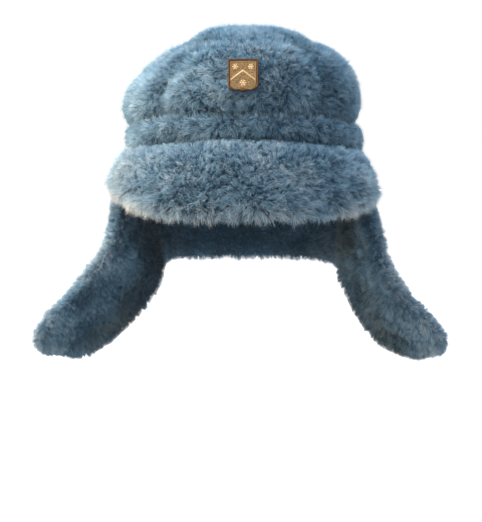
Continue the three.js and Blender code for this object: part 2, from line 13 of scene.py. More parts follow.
import bpy
import numpy as np
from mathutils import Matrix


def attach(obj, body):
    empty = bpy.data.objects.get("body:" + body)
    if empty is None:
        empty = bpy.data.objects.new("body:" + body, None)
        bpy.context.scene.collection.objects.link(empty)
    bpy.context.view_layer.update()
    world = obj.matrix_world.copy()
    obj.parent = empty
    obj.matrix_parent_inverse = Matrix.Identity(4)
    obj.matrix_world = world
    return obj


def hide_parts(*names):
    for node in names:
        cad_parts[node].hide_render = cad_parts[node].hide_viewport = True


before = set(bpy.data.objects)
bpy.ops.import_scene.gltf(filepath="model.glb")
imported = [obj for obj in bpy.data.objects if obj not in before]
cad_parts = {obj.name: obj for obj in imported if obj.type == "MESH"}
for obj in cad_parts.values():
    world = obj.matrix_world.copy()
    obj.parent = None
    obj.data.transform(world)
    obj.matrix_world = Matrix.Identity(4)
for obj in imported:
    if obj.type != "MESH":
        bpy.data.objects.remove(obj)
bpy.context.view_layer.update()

LOG = logging.getLogger("winter_hat")
MM = 0.001
SEED = 20261
DEGREE = math.pi / 180
IMAGE_WIDTH = 482
IMAGE_HEIGHT = 522
Array = np.ndarray
Value = float | Array
LEFT, RIGHT, FRONT, BACK = range(4)


class Slot(Enum):
    """The record's material slots."""

    PILE = "pile_cloth"
    GILT = "gilt_bronze"


# Numbers on whole arrays


def mix(a: Value, b: Value, share: Value) -> Value:
    """Returns the value at a share of the way from a to b: a + (b - a) * share."""
    return a + (b - a) * share


def smooth(value: Value, start: float = 0, end: float = 1) -> Array:
    """Returns 0 up to the start and 1 from the end on, and between them x * x * (3 - 2x) of the share."""
    x = np.clip((value - start) / (end - start), 0.0, 1.0)
    return x * x * (3 - 2 * x)


def rounded(value: Array, start: Value, end: Value, least: float) -> Array:
    """Returns a rounded edge's share of the thickness: 1 up to the start, then a quarter circle."""
    into = np.maximum(0, (value - start) / (end - start))
    return np.sqrt(np.maximum(least, 1 - into**2))


def crowded(count: int, share: float) -> Array:
    """Returns numbers from -1 to 1 that crowd at both ends: even steps mixed with the sine of them."""
    even = np.linspace(-1, 1, count)
    return mix(even, np.sin(even * math.pi / 2), share)


def unit(vectors: Array) -> Array:
    """Returns the vectors at length 1."""
    return vectors / np.maximum(np.linalg.norm(vectors, axis=-1, keepdims=True), 1e-9)


def dot(a: Array, b: Array) -> Array:
    """Returns the dot product along the last axis, with the axis kept."""
    return (a * b).sum(-1, keepdims=True)


def column(rows: Array, place: Array) -> Array:
    """Reads a table at places between its rows, on Catmull and Rom's curve through them.

    Args:
        rows: one row for each section, of any number of columns.
        place: row numbers with fractions.

    Returns:
        The table's columns at each place.
    """
    last = len(rows) - 1
    i = np.clip(np.floor(place).astype(int), 0, last - 1)
    s = (place - i).reshape(place.shape + (1,) * (rows.ndim - 1))
    before, here = rows[np.maximum(i - 1, 0)], rows[i]
    after, beyond = rows[i + 1], rows[np.minimum(i + 2, last)]
    start, end = (after - before) / 2, (beyond - here) / 2
    return (
        here * (2 * s**3 - 3 * s**2 + 1)
        + start * (s**3 - 2 * s**2 + s)
        + after * (3 * s**2 - 2 * s**3)
        + end * (s**3 - s**2)
    )


def rotated(vectors: Array, axes: Array, angle: Array) -> Array:
    """Turns vectors about unit axes: v cos a + (axis x v) sin a + axis (axis . v)(1 - cos a).

    Args:
        vectors: the vectors to turn.
        axes: one unit axis for each.
        angle: one angle for each, in radians.

    Returns:
        The turned vectors.
    """
    c, s = np.cos(angle)[..., None], np.sin(angle)[..., None]
    return vectors * c + np.cross(axes, vectors) * s + axes * dot(axes, vectors) * (1 - c)


@dataclass(frozen=True)
class Drift:
    """Smooth unevenness in space: random values on a cubic lattice, eased between its corners.

    Attributes:
        pitch: the lattice's spacing in millimetres.
        seed: the start of the random draws.
        size: the number of values along each side, after which they repeat.
        height: the size of a value, so that what is read goes from about -1 to 1.
    """

    pitch: float
    seed: int
    size: int = 24
    height: float = 1.6

    def at(self, points: Array) -> Array:
        """Reads the unevenness.

        Args:
            points: places in millimetres.

        Returns:
            One value from about -1 to 1 for each place.
        """
        table = np.random.default_rng(self.seed).uniform(-1, 1, (self.size,) * 3)
        where = points / self.pitch
        low = np.floor(where).astype(int)
        x, y, z = np.moveaxis(smooth(where - low), -1, 0)
        i, j, k = np.moveaxis(low % self.size, -1, 0)
        i2, j2, k2 = (i + 1) % self.size, (j + 1) % self.size, (k + 1) % self.size
        near, far = (
            mix(mix(table[i, j, n], table[i2, j, n], x), mix(table[i, j2, n], table[i2, j2, n], x), y)
            for n in (k, k2)
        )
        return mix(near, far, z) * self.height


@dataclass(frozen=True)
class Locks:
    """The locks that pile gathers in: the cells round random points, one in each cube of a lattice."""

    pitch: float
    seed: int
    size: int = 32

    def sort(self, points: Array) -> tuple[Array, Array]:
        """Sorts places into locks, each place to the nearest random point of the 27 cubes round it.

        Args:
            points: places in millimetres.

        Returns:
            For each place the number of its lock's most central place, and three normal draws that
            every place in the lock shares.
        """
        rng = np.random.default_rng(self.seed)
        jitter = rng.uniform(0.05, 0.95, (self.size,) * 3 + (3,))
        draws = rng.normal(0, 1, (self.size,) * 3 + (3,))
        where = points / self.pitch
        base = np.floor(where).astype(int)
        best, home = np.full(len(points), np.inf), base.copy()
        for step in np.stack(np.meshgrid(*[(-1, 0, 1)] * 3), -1).reshape(-1, 3):
            cell = base + step
            i, j, k = (cell % self.size).T
            away = ((where - cell - jitter[i, j, k]) ** 2).sum(1)
            closer = away < best
            best[closer], home[closer] = away[closer], cell[closer]
        number = (home - home.min(0)) @ np.array([1 << 20, 1 << 10, 1])
        order = np.lexsort((best, number))
        _, first, lock = np.unique(number[order], return_index=True, return_inverse=True)
        core = np.empty(len(points), int)
        core[order] = order[first][lock]
        i, j, k = (home % self.size).T
        return core, draws[i, j, k].T


# The hat's plan and seams


@dataclass(frozen=True)
class HeadPlan:
    """The rounded plan outline that every piece follows, and the roll's two lifts over the forehead."""

    half_width: float = 82
    half_depth: float = 102
    power: float = 2.25
    ease: float = 2
    rim_wall: float = 12
    top_lift: float = 14
    bottom_lift: float = 18
    lift_power: float = 1.3

    def reach(self, by: float) -> Array:
        """Returns the head's reach to the left, right, front and back, grown by a distance."""
        return np.array([self.half_width, self.half_width, self.half_depth, self.half_depth]) + by

    def point(self, reach: Array, degrees: Array, height: Array) -> Array:
        """Places points on the plan outline.

        The outline is a superellipse: the reach times the sine or cosine raised to 2 over the power.

        Args:
            reach: distances to the left, right, front and back, in the last axis.
            degrees: the angle from the front towards the wearer's left.
            height: the height of each point.

        Returns:
            The points.
        """
        side, front = np.sin(degrees * DEGREE), np.cos(degrees * DEGREE)
        half_x = np.where(side > 0, reach[..., LEFT], reach[..., RIGHT])
        half_y = np.where(front > 0, reach[..., FRONT], reach[..., BACK])
        round_off = 2 / self.power
        x = half_x * np.sign(side) * np.abs(side) ** round_off
        y = -half_y * np.sign(front) * np.abs(front) ** round_off
        return np.stack(np.broadcast_arrays(x, y, height), -1)

    def lift(self, by: float, degrees: Array) -> Array:
        """Returns how far the roll's top or bottom is lifted: by the cosine of the angle to a power."""
        return by * np.maximum(0, np.cos(degrees * DEGREE)) ** self.lift_power


PLAN = HeadPlan()
ARC = 2.1
TUFT_PITCH = 48
TUFT_HEIGHT = 1.5


def tufts(along: Array, down: Array) -> Array:
    """Works out the pile's soft unevenness: two crossed waves, each bent a little by the other.

    Args:
        along: the place along a piece, its angle in degrees times ARC, which is about millimetres.
        down: the place down the piece, in millimetres.

    Returns:
        How far the pile stands out there.
    """
    turn = 2 * math.pi / TUFT_PITCH
    first = np.sin(along * turn + 1.3 * np.sin(down * turn * 0.7))
    second = np.sin(down * turn * 1.15 + 1.1 * np.sin(along * turn * 0.8))
    return TUFT_HEIGHT * first * second


# Finishes


def linear(colour: str) -> tuple[float, float, float, float]:
    """Turns an sRGB colour to linear, by the curve of the sRGB standard.

    Args:
        colour: the colour as a hex value.

    Returns:
        Red, green, blue and alpha.
    """
    parts = [int(colour[i : i + 2], 16) / 255 for i in (1, 3, 5)]
    r, g, b = (p / 12.92 if p <= 0.04045 else ((p + 0.055) / 1.055) ** 2.4 for p in parts)
    return r, g, b, 1.0


def add_node(
    tree: bpy.types.NodeTree, kind: str, settings: dict | None = None, links: dict | None = None
) -> bpy.types.Node:
    """Adds a node with its settings and links.

    Args:
        tree: the node tree.
        kind: the node's type name without "ShaderNode".
        settings: attributes by name, and unlinked socket values by socket name or number.
        links: output sockets by the name or number of the input that they go to.

    Returns:
        The new node.
    """
    node = tree.nodes.new("ShaderNode" + kind)
    for name, value in (settings or {}).items():
        if isinstance(name, str) and hasattr(node, name):
            setattr(node, name, value)
        else:
            node.inputs[name].default_value = value
    for name, socket in (links or {}).items():
        tree.links.new(socket, node.inputs[name])
    return node


def set_ramp(node: bpy.types.Node, stops: tuple) -> None:
    """Sets a colour ramp's stops.

    Args:
        node: the ramp.
        stops: a place and an sRGB hex colour for each stop.
    """
    ramp = node.color_ramp
    for place, _ in stops[1:-1]:
        ramp.elements.new(place)
    for element, (place, colour) in zip(ramp.elements, stops):
        element.position = place
        element.color = linear(colour)


def new_material(name: str, settings: dict) -> tuple[bpy.types.Material, bpy.types.NodeTree, bpy.types.Node]:
    """Makes a material whose shader has its even values set on its own sockets.

    Args:
        name: the material's name.
        settings: the shader's values by socket name.

    Returns:
        The material, its node tree and its shader.
    """
    made = bpy.data.materials.new(name)
    made.use_nodes = True
    shader = made.node_tree.nodes["Principled BSDF"]
    for socket, value in settings.items():
        shader.inputs[socket].default_value = value
    return made, made.node_tree, shader


@dataclass(frozen=True)
class KnittedPile:
    """Wool pile knitted into a cloth backing and brushed up.

    Dull fibres let some light through, so the pile looks soft. It is deep blue at the foot, partly its
    own colour and partly painted shade deep in the pile, and pale at the tip. The two ramps give the
    foot's and the tip's colour for each blade's tint.
    """

    feet: tuple = ((0.0, "#212e38"), (0.4, "#264a68"), (1.0, "#50728d"))
    tips: tuple = (
        (0.0, "#55676d"),
        (0.2, "#4c7089"),
        (0.42, "#6392b2"),
        (0.66, "#93afbf"),
        (0.85, "#bac4c8"),
        (1.0, "#cbc7be"),
    )
    roughness: float = 0.88
    sheen: float = 0.3
    through: float = 0.45
    rise: float = 1.15

    def material(self) -> bpy.types.Material:
        """Makes the pile's material: the colour goes from the foot's to the tip's up a blade.

        Returns:
            The material.
        """
        even = {
            "Roughness": self.roughness,
            "Sheen Weight": self.sheen,
            "Sheen Roughness": 0.6,
            "Sheen Tint": linear("#c9dbe6"),
            "Specular IOR Level": 0.25,
        }
        made, tree, shader = new_material("blue_grey_knitted_pile", even)
        height = add_node(tree, "Attribute", {"attribute_name": "height"})
        tint = add_node(tree, "Attribute", {"attribute_name": "tint"})
        feet = add_node(tree, "ValToRGB", links={"Fac": tint.outputs["Fac"]})
        set_ramp(feet, self.feet)
        tips = add_node(tree, "ValToRGB", links={"Fac": tint.outputs["Fac"]})
        set_ramp(tips, self.tips)
        # Partly painted shade: the colour darkens from the tip's to the foot's down a blade.
        rise = add_node(tree, "Math", {"operation": "POWER", 1: self.rise}, {0: height.outputs["Fac"]})
        colour = add_node(tree, "Mix", {"data_type": "RGBA"}, {"Factor": rise.outputs[0]})
        tree.links.new(feet.outputs["Color"], colour.inputs["A"])
        tree.links.new(tips.outputs["Color"], colour.inputs["B"])
        tree.links.new(colour.outputs["Result"], shader.inputs["Base Color"])
        lit_through = add_node(tree, "BsdfTranslucent", links={"Color": colour.outputs["Result"]})
        parts = {1: shader.outputs["BSDF"], 2: lit_through.outputs["BSDF"]}
        both = add_node(tree, "MixShader", {0: self.through}, parts)
        tree.links.new(both.outputs[0], tree.nodes["Material Output"].inputs["Surface"])
        return made


@dataclass(frozen=True)
class FlannelLining:
    """Cotton flannel, napped on its face.

    Its nap of 2 mm lies unevenly, so it looks dull, dark and soft, in two close tones.
    """

    raised: str = "#3d4e5a"
    pressed: str = "#25313a"
    nap: float = 2.0
    nap_depth: float = 0.5

    def material(self) -> bpy.types.Material:
        """Makes the lining's material: one noise gives the nap its two tones and its bump.

        Returns:
            The material.
        """
        even = {"Roughness": 0.9, "Sheen Weight": 0.25, "Specular IOR Level": 0.25}
        made, tree, shader = new_material("dark_cotton_flannel", even)
        place = add_node(tree, "TexCoord")
        pitch = {"Scale": 1 / (self.nap * MM), "Detail": 4.0, "Roughness": 0.6}
        nap = add_node(tree, "TexNoise", pitch, {"Vector": place.outputs["Object"]})
        colour = add_node(tree, "ValToRGB", links={"Fac": nap.outputs["Fac"]})
        set_ramp(colour, ((0.35, self.pressed), (0.68, self.raised)))
        depth = {"Strength": 0.5, "Distance": self.nap_depth * MM}
        bump = add_node(tree, "Bump", depth, {"Height": nap.outputs["Fac"]})
        tree.links.new(colour.outputs["Color"], shader.inputs["Base Color"])
        tree.links.new(bump.outputs["Normal"], shader.inputs["Normal"])
        return made


@dataclass(frozen=True)
class GiltBronze:
    """Struck bronze, gilded and worn.

    Brown tarnish fills its hollows and it shines gold where it is worn. Its cast grain is finer
    than the render shows, and is drawn coarser, at 0.9 grains to the millimetre.
    """

    stops: tuple = ((0.0, "#1c140c"), (0.3, "#382818"), (0.55, "#4e4029"), (1.0, "#94866a"))
    grains: float = 0.9
    grain_depth: float = 0.2
    stain: float = 0.14
    roughness: tuple = (0.78, 0.55)

    def material(self) -> bpy.types.Material:
        """Makes the metal: colour and roughness follow the relief's height, stained by the grain.

        Returns:
            The material.
        """
        made, tree, shader = new_material("struck_gilt_bronze", {"Metallic": 0.75})
        relief = add_node(tree, "Attribute", {"attribute_name": "relief"})
        place = add_node(tree, "TexCoord")
        pitch = {"Scale": self.grains / MM, "Detail": 3.0}
        grain = add_node(tree, "TexNoise", pitch, {"Vector": place.outputs["Object"]})
        spread = {"From Min": 0.3, "From Max": 0.7, "To Min": -self.stain, "To Max": self.stain}
        stain = add_node(tree, "MapRange", spread, {"Value": grain.outputs["Fac"]})
        both = {0: relief.outputs["Fac"], 1: stain.outputs[0]}
        worn = add_node(tree, "Math", {"operation": "ADD"}, both)
        colour = add_node(tree, "ValToRGB", links={"Fac": worn.outputs[0]})
        set_ramp(colour, self.stops)
        rough = {"To Min": self.roughness[0], "To Max": self.roughness[1]}
        gloss = add_node(tree, "MapRange", rough, {"Value": worn.outputs[0]})
        depth = {"Strength": 0.25, "Distance": self.grain_depth * MM}
        bump = add_node(tree, "Bump", depth, {"Height": grain.outputs["Fac"]})
        tree.links.new(colour.outputs["Color"], shader.inputs["Base Color"])
        tree.links.new(gloss.outputs[0], shader.inputs["Roughness"])
        tree.links.new(bump.outputs["Normal"], shader.inputs["Normal"])
        return made


# Backing and pile


@dataclass
class Skin:
    """A padded form: closed loops of points round each section, and the pile that grows on them.

    Attributes:
        points: (sections, loop, 3) places, the outer rail and then the inner rail back.
        comb: (sections, loop, 3) the way in which the pile is combed.
        pile: (sections, loop) the pile's length, 0 where the form is lined.
        shade: (sections, loop) how much paler, or darker if negative, the pile is.
        cover: (sections, loop) the share of the full number of blades.
        is_ring: True where the last section joins the first.
        has_poles: True where the loops' ends meet at the middle of the ring.
        turned: 1 where the cells' order points outwards as it is, and -1 where it points inwards.
    """

    points: Array
    comb: Array
    pile: Array
    is_ring: bool
    shade: Array
    cover: Array
    has_poles: bool = False
    turned: float = field(init=False, default=1.0)

    def __post_init__(self) -> None:
        """Finds which way the faces point, from the sign of the volume that they enclose."""
        flat = self.points.reshape(-1, 3)
        a, b, c, d = (flat[k] for k in self.cells().T)
        self.turned = float(np.sign((np.cross(a, b) * c + np.cross(a, c) * d).sum()) or 1.0)

    def cells(self) -> Array:
        """Lists the cells between neighbouring sections.

        Returns:
            (cells, 4) corner numbers.
        """
        sections, loop, _ = self.points.shape
        i = np.arange(sections if self.is_ring else sections - 1)[:, None]
        j = np.arange(loop - 1 if self.has_poles else loop)[None, :]
        here, ahead = i * loop, (i + 1) % sections * loop
        corners = np.broadcast_arrays(here + j, ahead + j, ahead + (j + 1) % loop, here + (j + 1) % loop)
        return np.stack(corners, -1).reshape(-1, 4)

    def normals(self) -> Array:
        """Works out the normals, square to the central differences both ways.

        Returns:
            (sections, loop, 3) unit vectors that point outwards.
        """
        p = self.points
        if self.is_ring:
            along = np.roll(p, -1, 0) - np.roll(p, 1, 0)
        else:
            along = np.gradient(p, axis=0)
        around = np.roll(p, -1, 1) - np.roll(p, 1, 1)
        made = unit(np.cross(along, around)) * self.turned
        if self.has_poles:
            made[:, 0], made[:, -1] = (0, 0, 1), (0, 0, -1)
        return made

    def faces(self) -> list[Array]:
        """Lists the cells, and the faces that close the ends or the poles, all pointing outwards.

        Returns:
            Corner numbers, an array for each group, of one row or of several.
        """
        sections, loop, _ = self.points.shape
        made = [self.cells()]
        if self.has_poles:
            first = np.arange(sections) * loop
            made += [first[::-1], first + loop - 1]
        elif not self.is_ring:
            j = np.arange(loop // 2 - 1)
            start = np.stack([j, j + 1, loop - 2 - j, loop - 1 - j], -1)
            made += [start, start[:, ::-1] + (sections - 1) * loop]
        return [f if self.turned > 0 else f[..., ::-1] for f in made]


def wrapped(
    faces: tuple,
    comb: tuple,
    pile: tuple,
    shade: tuple,
    cover: tuple = (1.0, 1.0),
    is_ring: bool = False,
    has_poles: bool = False,
) -> Skin:
    """Joins an outer and an inner face in one padded form.

    Args:
        faces: the outer and the inner face, (sections, rail, 3) each, on the same rails.
        comb: the way in which each face's pile is combed.
        pile: each face's pile length, 0 on a lined face.
        shade: how much paler, or darker if negative, each face's pile is.
        cover: each face's share of the full number of blades, less where little shows.
        is_ring: True where the last section joins the first.
        has_poles: True for a round cap, whose rails start at its middle.

    Returns:
        The form, with the inner rails taken backwards so that each section is one loop.
    """

    def joined(pair: tuple) -> Array:
        """Returns the pair's values in the order of the loop."""
        return np.concatenate([pair[0], pair[1][:, ::-1]], 1)

    full = np.ones_like(pile[0])
    covers = joined((full * cover[0], full * cover[1]))
    return Skin(joined(faces), joined(comb), joined(pile), is_ring, joined(shade), covers, has_poles)


BASE_TINT = 0.42
TINTS = (0.02, 0.98)
PATCH = 30
SWAY = 0.004


@dataclass(frozen=True)
class Blade:
    """How a blade is cut.

    Attributes:
        heights: each point's place up the blade, 0 at the foot and 1 at the tip.
        sides: each point's place across it, -1 to 1 at the foot and less where it narrows.
        faces: the point numbers of each face.
    """

    heights: tuple
    sides: tuple
    faces: tuple


STRAIGHT = Blade((0.0, 0.0, 1.0), (-1, 1, 0), ((0, 1, 2),))
BENT = Blade((0.0, 0.0, 0.5, 0.5, 1.0), (-1, 1, 0.8, -0.8, 0), ((0, 1, 2, 3), (3, 2, 4)))


@dataclass(frozen=True)
class Pile:
    """One kind of fibre in the pile: how thick it stands, how it leans, and how it gathers in locks.

    Attributes:
        seed: the start of the random draws.
        is_bent: True for guard hair, which bends over, and False for straight under wool.
        density: blades to a square millimetre.
        width: a blade's width at its foot.
        reach: a blade's length as a share of the pile's.
        gather: how far a blade's tip is drawn to the lock's.
        speckle: how much the blades' tints differ.
        lean: the angle from upright, in degrees.
        lock_pitch: the distance between the middles of neighbouring locks.
        slope: the size of the areas that lean alike.
        tuft: the size of the areas of one length.
        swirl: how far the combing wanders from area to area, in degrees.
        turns: how much it differs by lock and by blade, in degrees.
        leans: how much the lean differs by lock, by blade and by area, in degrees.
        lengths: how much the length differs by tuft, by lock and by blade.
        tints: how much the tint differs by patch, by tuft and by lock.
        stretches: the least and the most that a length is stretched.
        bend: how far the lower half stands up and the upper half leans over, in radians.
        follow: how far a blade's middle goes with its tip into the lock.
        twist: how far a blade may be turned about its run, in radians.
        facing: the share of a blade's own face in its shading, the rest being the skin's.
        roundness: how far the shading turns from one side of a blade to the other.
        widths: how much the width differs from blade to blade, with the least and the most.
    """

    seed: int
    is_bent: bool
    density: float
    width: float
    reach: float
    gather: float
    speckle: float
    lean: float
    lock_pitch: float = 3.4
    slope: float = 18
    tuft: float = 10
    swirl: float = 60
    turns: tuple = (42, 34)
    leans: tuple = (12, 13, 9)
    lengths: tuple = (0.11, 0.07, 0.12)
    stretches: tuple = (0.55, 1.4)
    tints: tuple = (0.08, 0.06, 0.04)
    bend: tuple = (0.35, 0.3)
    follow: float = 0.28
    twist: float = 0.75
    facing: float = 0.22
    roundness: float = 0.3
    widths: tuple = (0.2, 0.5, 1.5)

    @property
    def blade(self) -> Blade:
        """Returns the way in which this fibre's blades are cut."""
        return BENT if self.is_bent else STRAIGHT

    def sow(self, skin: Skin, rng: np.random.Generator) -> tuple[Array, Array]:
        """Draws where the blades stand: a cell for each, by area and cover, and a place in it.

        Args:
            skin: the padded form.
            rng: the source of the draws.

        Returns:
            The four corner numbers of each blade's cell, and each corner's share in its foot.
        """
        corners = skin.cells()
        a, b, c, d = (skin.points.reshape(-1, 3)[k] for k in corners.T)
        area = np.linalg.norm(np.cross(c - a, d - b), axis=1) / 2
        is_piled = skin.pile.reshape(-1)[corners].min(1) > 0
        weight = area * is_piled * skin.cover.reshape(-1)[corners].mean(1)
        count = int(weight.sum() * self.density)
        cell = np.searchsorted(np.cumsum(weight) / weight.sum(), rng.uniform(0, 1, count))
        u, v = rng.uniform(0, 1, (2, count))
        return corners[cell], np.stack([(1 - u) * (1 - v), u * (1 - v), u * v, (1 - u) * v], -1)

    def grow(self, skin: Skin) -> tuple[Array, Array, Array]:
        """Grows blades on a skin.

        Each blade is a foot edge and a tip, with a middle edge between them where it bends. It leans
        towards the combed direction, and its tip is drawn towards the tip of its lock's middle.

        Args:
            skin: the padded form.

        Returns:
            (blades, 5 or 3, 3) places, as many shading normals, and (blades,) tints.
        """
        rng = np.random.default_rng((self.seed, int(self.is_bent)))
        corners, shares = self.sow(skin, rng)
        count = len(corners)

        def read(values: Array) -> Array:
            """Returns grid values at the blades' feet, mixed from their cells' corners."""
            return np.einsum("nk,nk...->n...", shares, values.reshape(skin.pile.size, -1)[corners])

        def leant(way: Array, up: Array, angle: Array) -> Array:
            """Returns the direction at an angle from upright, towards the way of the comb."""
            angle = np.clip(angle, 0.0, 1.5)[:, None]
            return up * np.cos(angle) + way * np.sin(angle)

        foot, normal, comb = read(skin.points), unit(read(skin.normals())), read(skin.comb)
        comb = unit(comb - normal * dot(comb, normal) + 1e-6)
        core, by_lock = Locks(self.lock_pitch, self.seed + 5).sort(foot)
        by_blade = rng.normal(0, 1, (4, count))
        by_tuft = Drift(self.tuft, self.seed + 4).at(foot)

        swirl = Drift(PATCH, self.seed + 1).at(foot) * self.swirl + by_lock[0] * self.turns[0]
        turn = (swirl + by_blade[0] * self.turns[1]) * DEGREE
        by_slope = Drift(self.slope, self.seed + 2).at(foot)
        lean = self.lean + by_lock[1] * self.leans[0] + by_blade[1] * self.leans[1]
        lean = (lean + by_slope * self.leans[2]) * DEGREE
        stretch = 1 + self.lengths[0] * by_tuft + self.lengths[1] * by_lock[2]
        stretch = np.clip(stretch + self.lengths[2] * by_blade[2], *self.stretches)
        size = (read(skin.pile)[:, 0] * stretch * self.reach)[:, None]

        along = rotated(comb, normal, turn)
        core_along = rotated(comb[core], normal[core], swirl[core] * DEGREE)
        core_tip = foot[core] + leant(core_along, normal[core], lean[core]) * size[core]
        if self.is_bent:
            half = foot + leant(along, normal, lean - self.bend[0]) * size / 2
            tip = half + leant(along, normal, lean + self.bend[1]) * size / 2
            half = half + (core_tip - half) * self.gather * self.follow
            spine = [foot, foot, half, half]
        else:
            tip = foot + leant(along, normal, lean) * size
            spine = [foot, foot]
        tip = tip + (core_tip - tip) * self.gather

        run = unit(tip - foot)
        twist = rng.uniform(-self.twist, self.twist, count)
        across = rotated(unit(np.cross(normal, run)), run, twist)
        across = across * np.sign(dot(np.cross(across, run), normal))
        spread, least, most = self.widths
        wide = (self.width * np.clip(1 + spread * by_blade[3], least, most))[:, None] / 2
        sides = np.array(self.blade.sides)[None, :, None]
        points = np.stack([*spine, tip], 1) + (across * wide)[:, None] * sides
        shading = mix(normal, np.cross(across, run), self.facing)[:, None]
        shading = unit(shading + across[:, None] * self.roundness * np.sign(sides))
        by_patch = Drift(PATCH, self.seed + 3).at(foot)
        patches = self.tints[0] * by_patch + self.tints[1] * by_tuft + self.tints[2] * by_lock[2]
        tint = BASE_TINT + read(skin.shade)[:, 0] + patches + rng.normal(0, self.speckle, count)
        return points, shading, np.clip(tint, *TINTS)


def coat(seed: int, share: float = 1.0, shag: float = 0.0) -> tuple[Pile, Pile]:
    """Gives the pile's two fibres: dense straight under wool, and longer bent guard hair.

    Args:
        seed: the start of the random draws.
        share: the share of the full number of blades.
        shag: from 0 for even pile to 1 for pile that hangs in locks.

    Returns:
        The under wool and the guard hair.
    """
    under = Pile(
        seed=seed,
        is_bent=False,
        density=1.78 * share,
        width=0.42,
        reach=0.9,
        gather=0.2 + 0.1 * shag,
        speckle=0.12,
        lean=30,
    )
    guard = Pile(
        seed=seed,
        is_bent=True,
        density=0.38 * share,
        width=0.44,
        reach=0.96,
        gather=0.32 + 0.15 * shag,
        speckle=0.16,
        lean=40,
    )
    return under, guard


def mesh_of(name: str, points: Array, groups: list[Array]) -> bpy.types.Mesh:
    """Writes whole arrays into a smooth mesh.

    Args:
        name: the mesh's name.
        points: (points, 3) places in millimetres.
        groups: arrays of faces with as many corners each, one row of point numbers for a face.

    Returns:
        The mesh.
    """
    corners = np.concatenate([rows.ravel() for rows in groups])
    sides = np.concatenate([np.full(len(rows), rows.shape[1]) for rows in groups])
    mesh = bpy.data.meshes.new(name)
    mesh.vertices.add(len(points))
    mesh.vertices.foreach_set("co", (points * MM).astype(np.float32).ravel())
    mesh.loops.add(len(corners))
    mesh.loops.foreach_set("vertex_index", corners.astype(np.int32))
    mesh.polygons.add(len(sides))
    mesh.polygons.foreach_set("loop_start", (np.cumsum(sides) - sides).astype(np.int32))
    mesh.update(calc_edges=True)
    mesh.shade_smooth()
    return mesh


def set_attribute(mesh: bpy.types.Mesh, name: str, values: Array) -> None:
    """Gives a mesh's points one value each, under a name that its material reads."""
    made = mesh.attributes.new(name, "FLOAT", "POINT")
    made.data.foreach_set("value", values.astype(np.float32))


def add_object(name: str, data: bpy.types.ID) -> bpy.types.Object:
    """Adds an object to the scene, at the origin, unturned and unscaled.

    Args:
        name: the object's name.
        data: its mesh, lamp or camera.

    Returns:
        The object.
    """
    made = bpy.data.objects.new(name, data)
    bpy.context.scene.collection.objects.link(made)
    return made


def build_fabric(
    name: str, node: str, skin: Skin, fibres: tuple, finishes: list
) -> bpy.types.Object:
    """Makes one soft piece: the backing's faces and the pile's blades in one mesh.

    Args:
        name: the piece's name.
        node: the frame's node that it stands for.
        skin: the padded form.
        fibres: the kinds of fibre that grow on it.
        finishes: the pile's material and the lining's.

    Returns:
        The finished object.
    """
    backing = skin.points.reshape(-1, 3)
    lengths = skin.pile.reshape(-1)
    groups = [np.atleast_2d(group) for group in skin.faces()]
    lined = [lengths[rows].max(1) <= 0 for rows in groups]
    points, normals = [backing], [skin.normals().reshape(-1, 3)]
    tints = [BASE_TINT + 0.1 * Drift(PATCH, fibres[0].seed + 3).at(backing)]
    heights, sways = [np.zeros(len(backing))], [np.zeros(len(backing))]
    first, total = len(backing), 0
    for fibre in fibres:
        blades, shading, tint = fibre.grow(skin)
        count, cuts, _ = blades.shape
        corner = first + cuts * np.arange(count)[:, None]
        groups += [corner + np.array(face)[None] for face in fibre.blade.faces]
        lined += [np.zeros(count, bool) for _ in fibre.blade.faces]
        points.append(blades.reshape(-1, 3))
        normals.append(shading.reshape(-1, 3))
        tints.append(np.repeat(tint, cuts))
        heights.append(np.tile(fibre.blade.heights, count))
        sways.append(np.tile(np.sign(fibre.blade.sides), count) * SWAY)
        first += cuts * count
        total += count
    mesh = mesh_of(name, np.concatenate(points), groups)
    mesh.polygons.foreach_set("material_index", np.concatenate(lined).astype(np.int32))
    tint, height = np.clip(np.concatenate(tints), *TINTS), np.concatenate(heights)
    set_attribute(mesh, "tint", tint)
    set_attribute(mesh, "height", height)
    # This map gives each blade its own tint across and its height up.
    uv = np.stack([tint + np.concatenate(sways), 0.01 + 0.98 * height], -1)
    uv = uv[np.concatenate([rows.ravel() for rows in groups])]
    mesh.uv_layers.new(name="OFBake").data.foreach_set("uv", uv.astype(np.float32).ravel())
    mesh.normals_split_custom_set_from_vertices(np.concatenate(normals).astype(np.float32))
    for finish in finishes:
        mesh.materials.append(finish)
    made = add_object(name, mesh)
    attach(made, "root")
    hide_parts(node)
    triangles = sum(len(rows) * (rows.shape[1] - 2) for rows in groups)
    LOG.info("%s: %d blades, %d triangles", name, total, triangles)
    return made


def towards(points: Array, axis: int) -> Array:
    """Returns the unit steps from each point to the next along an axis."""
    return unit(np.gradient(points, axis=axis))


# The crown


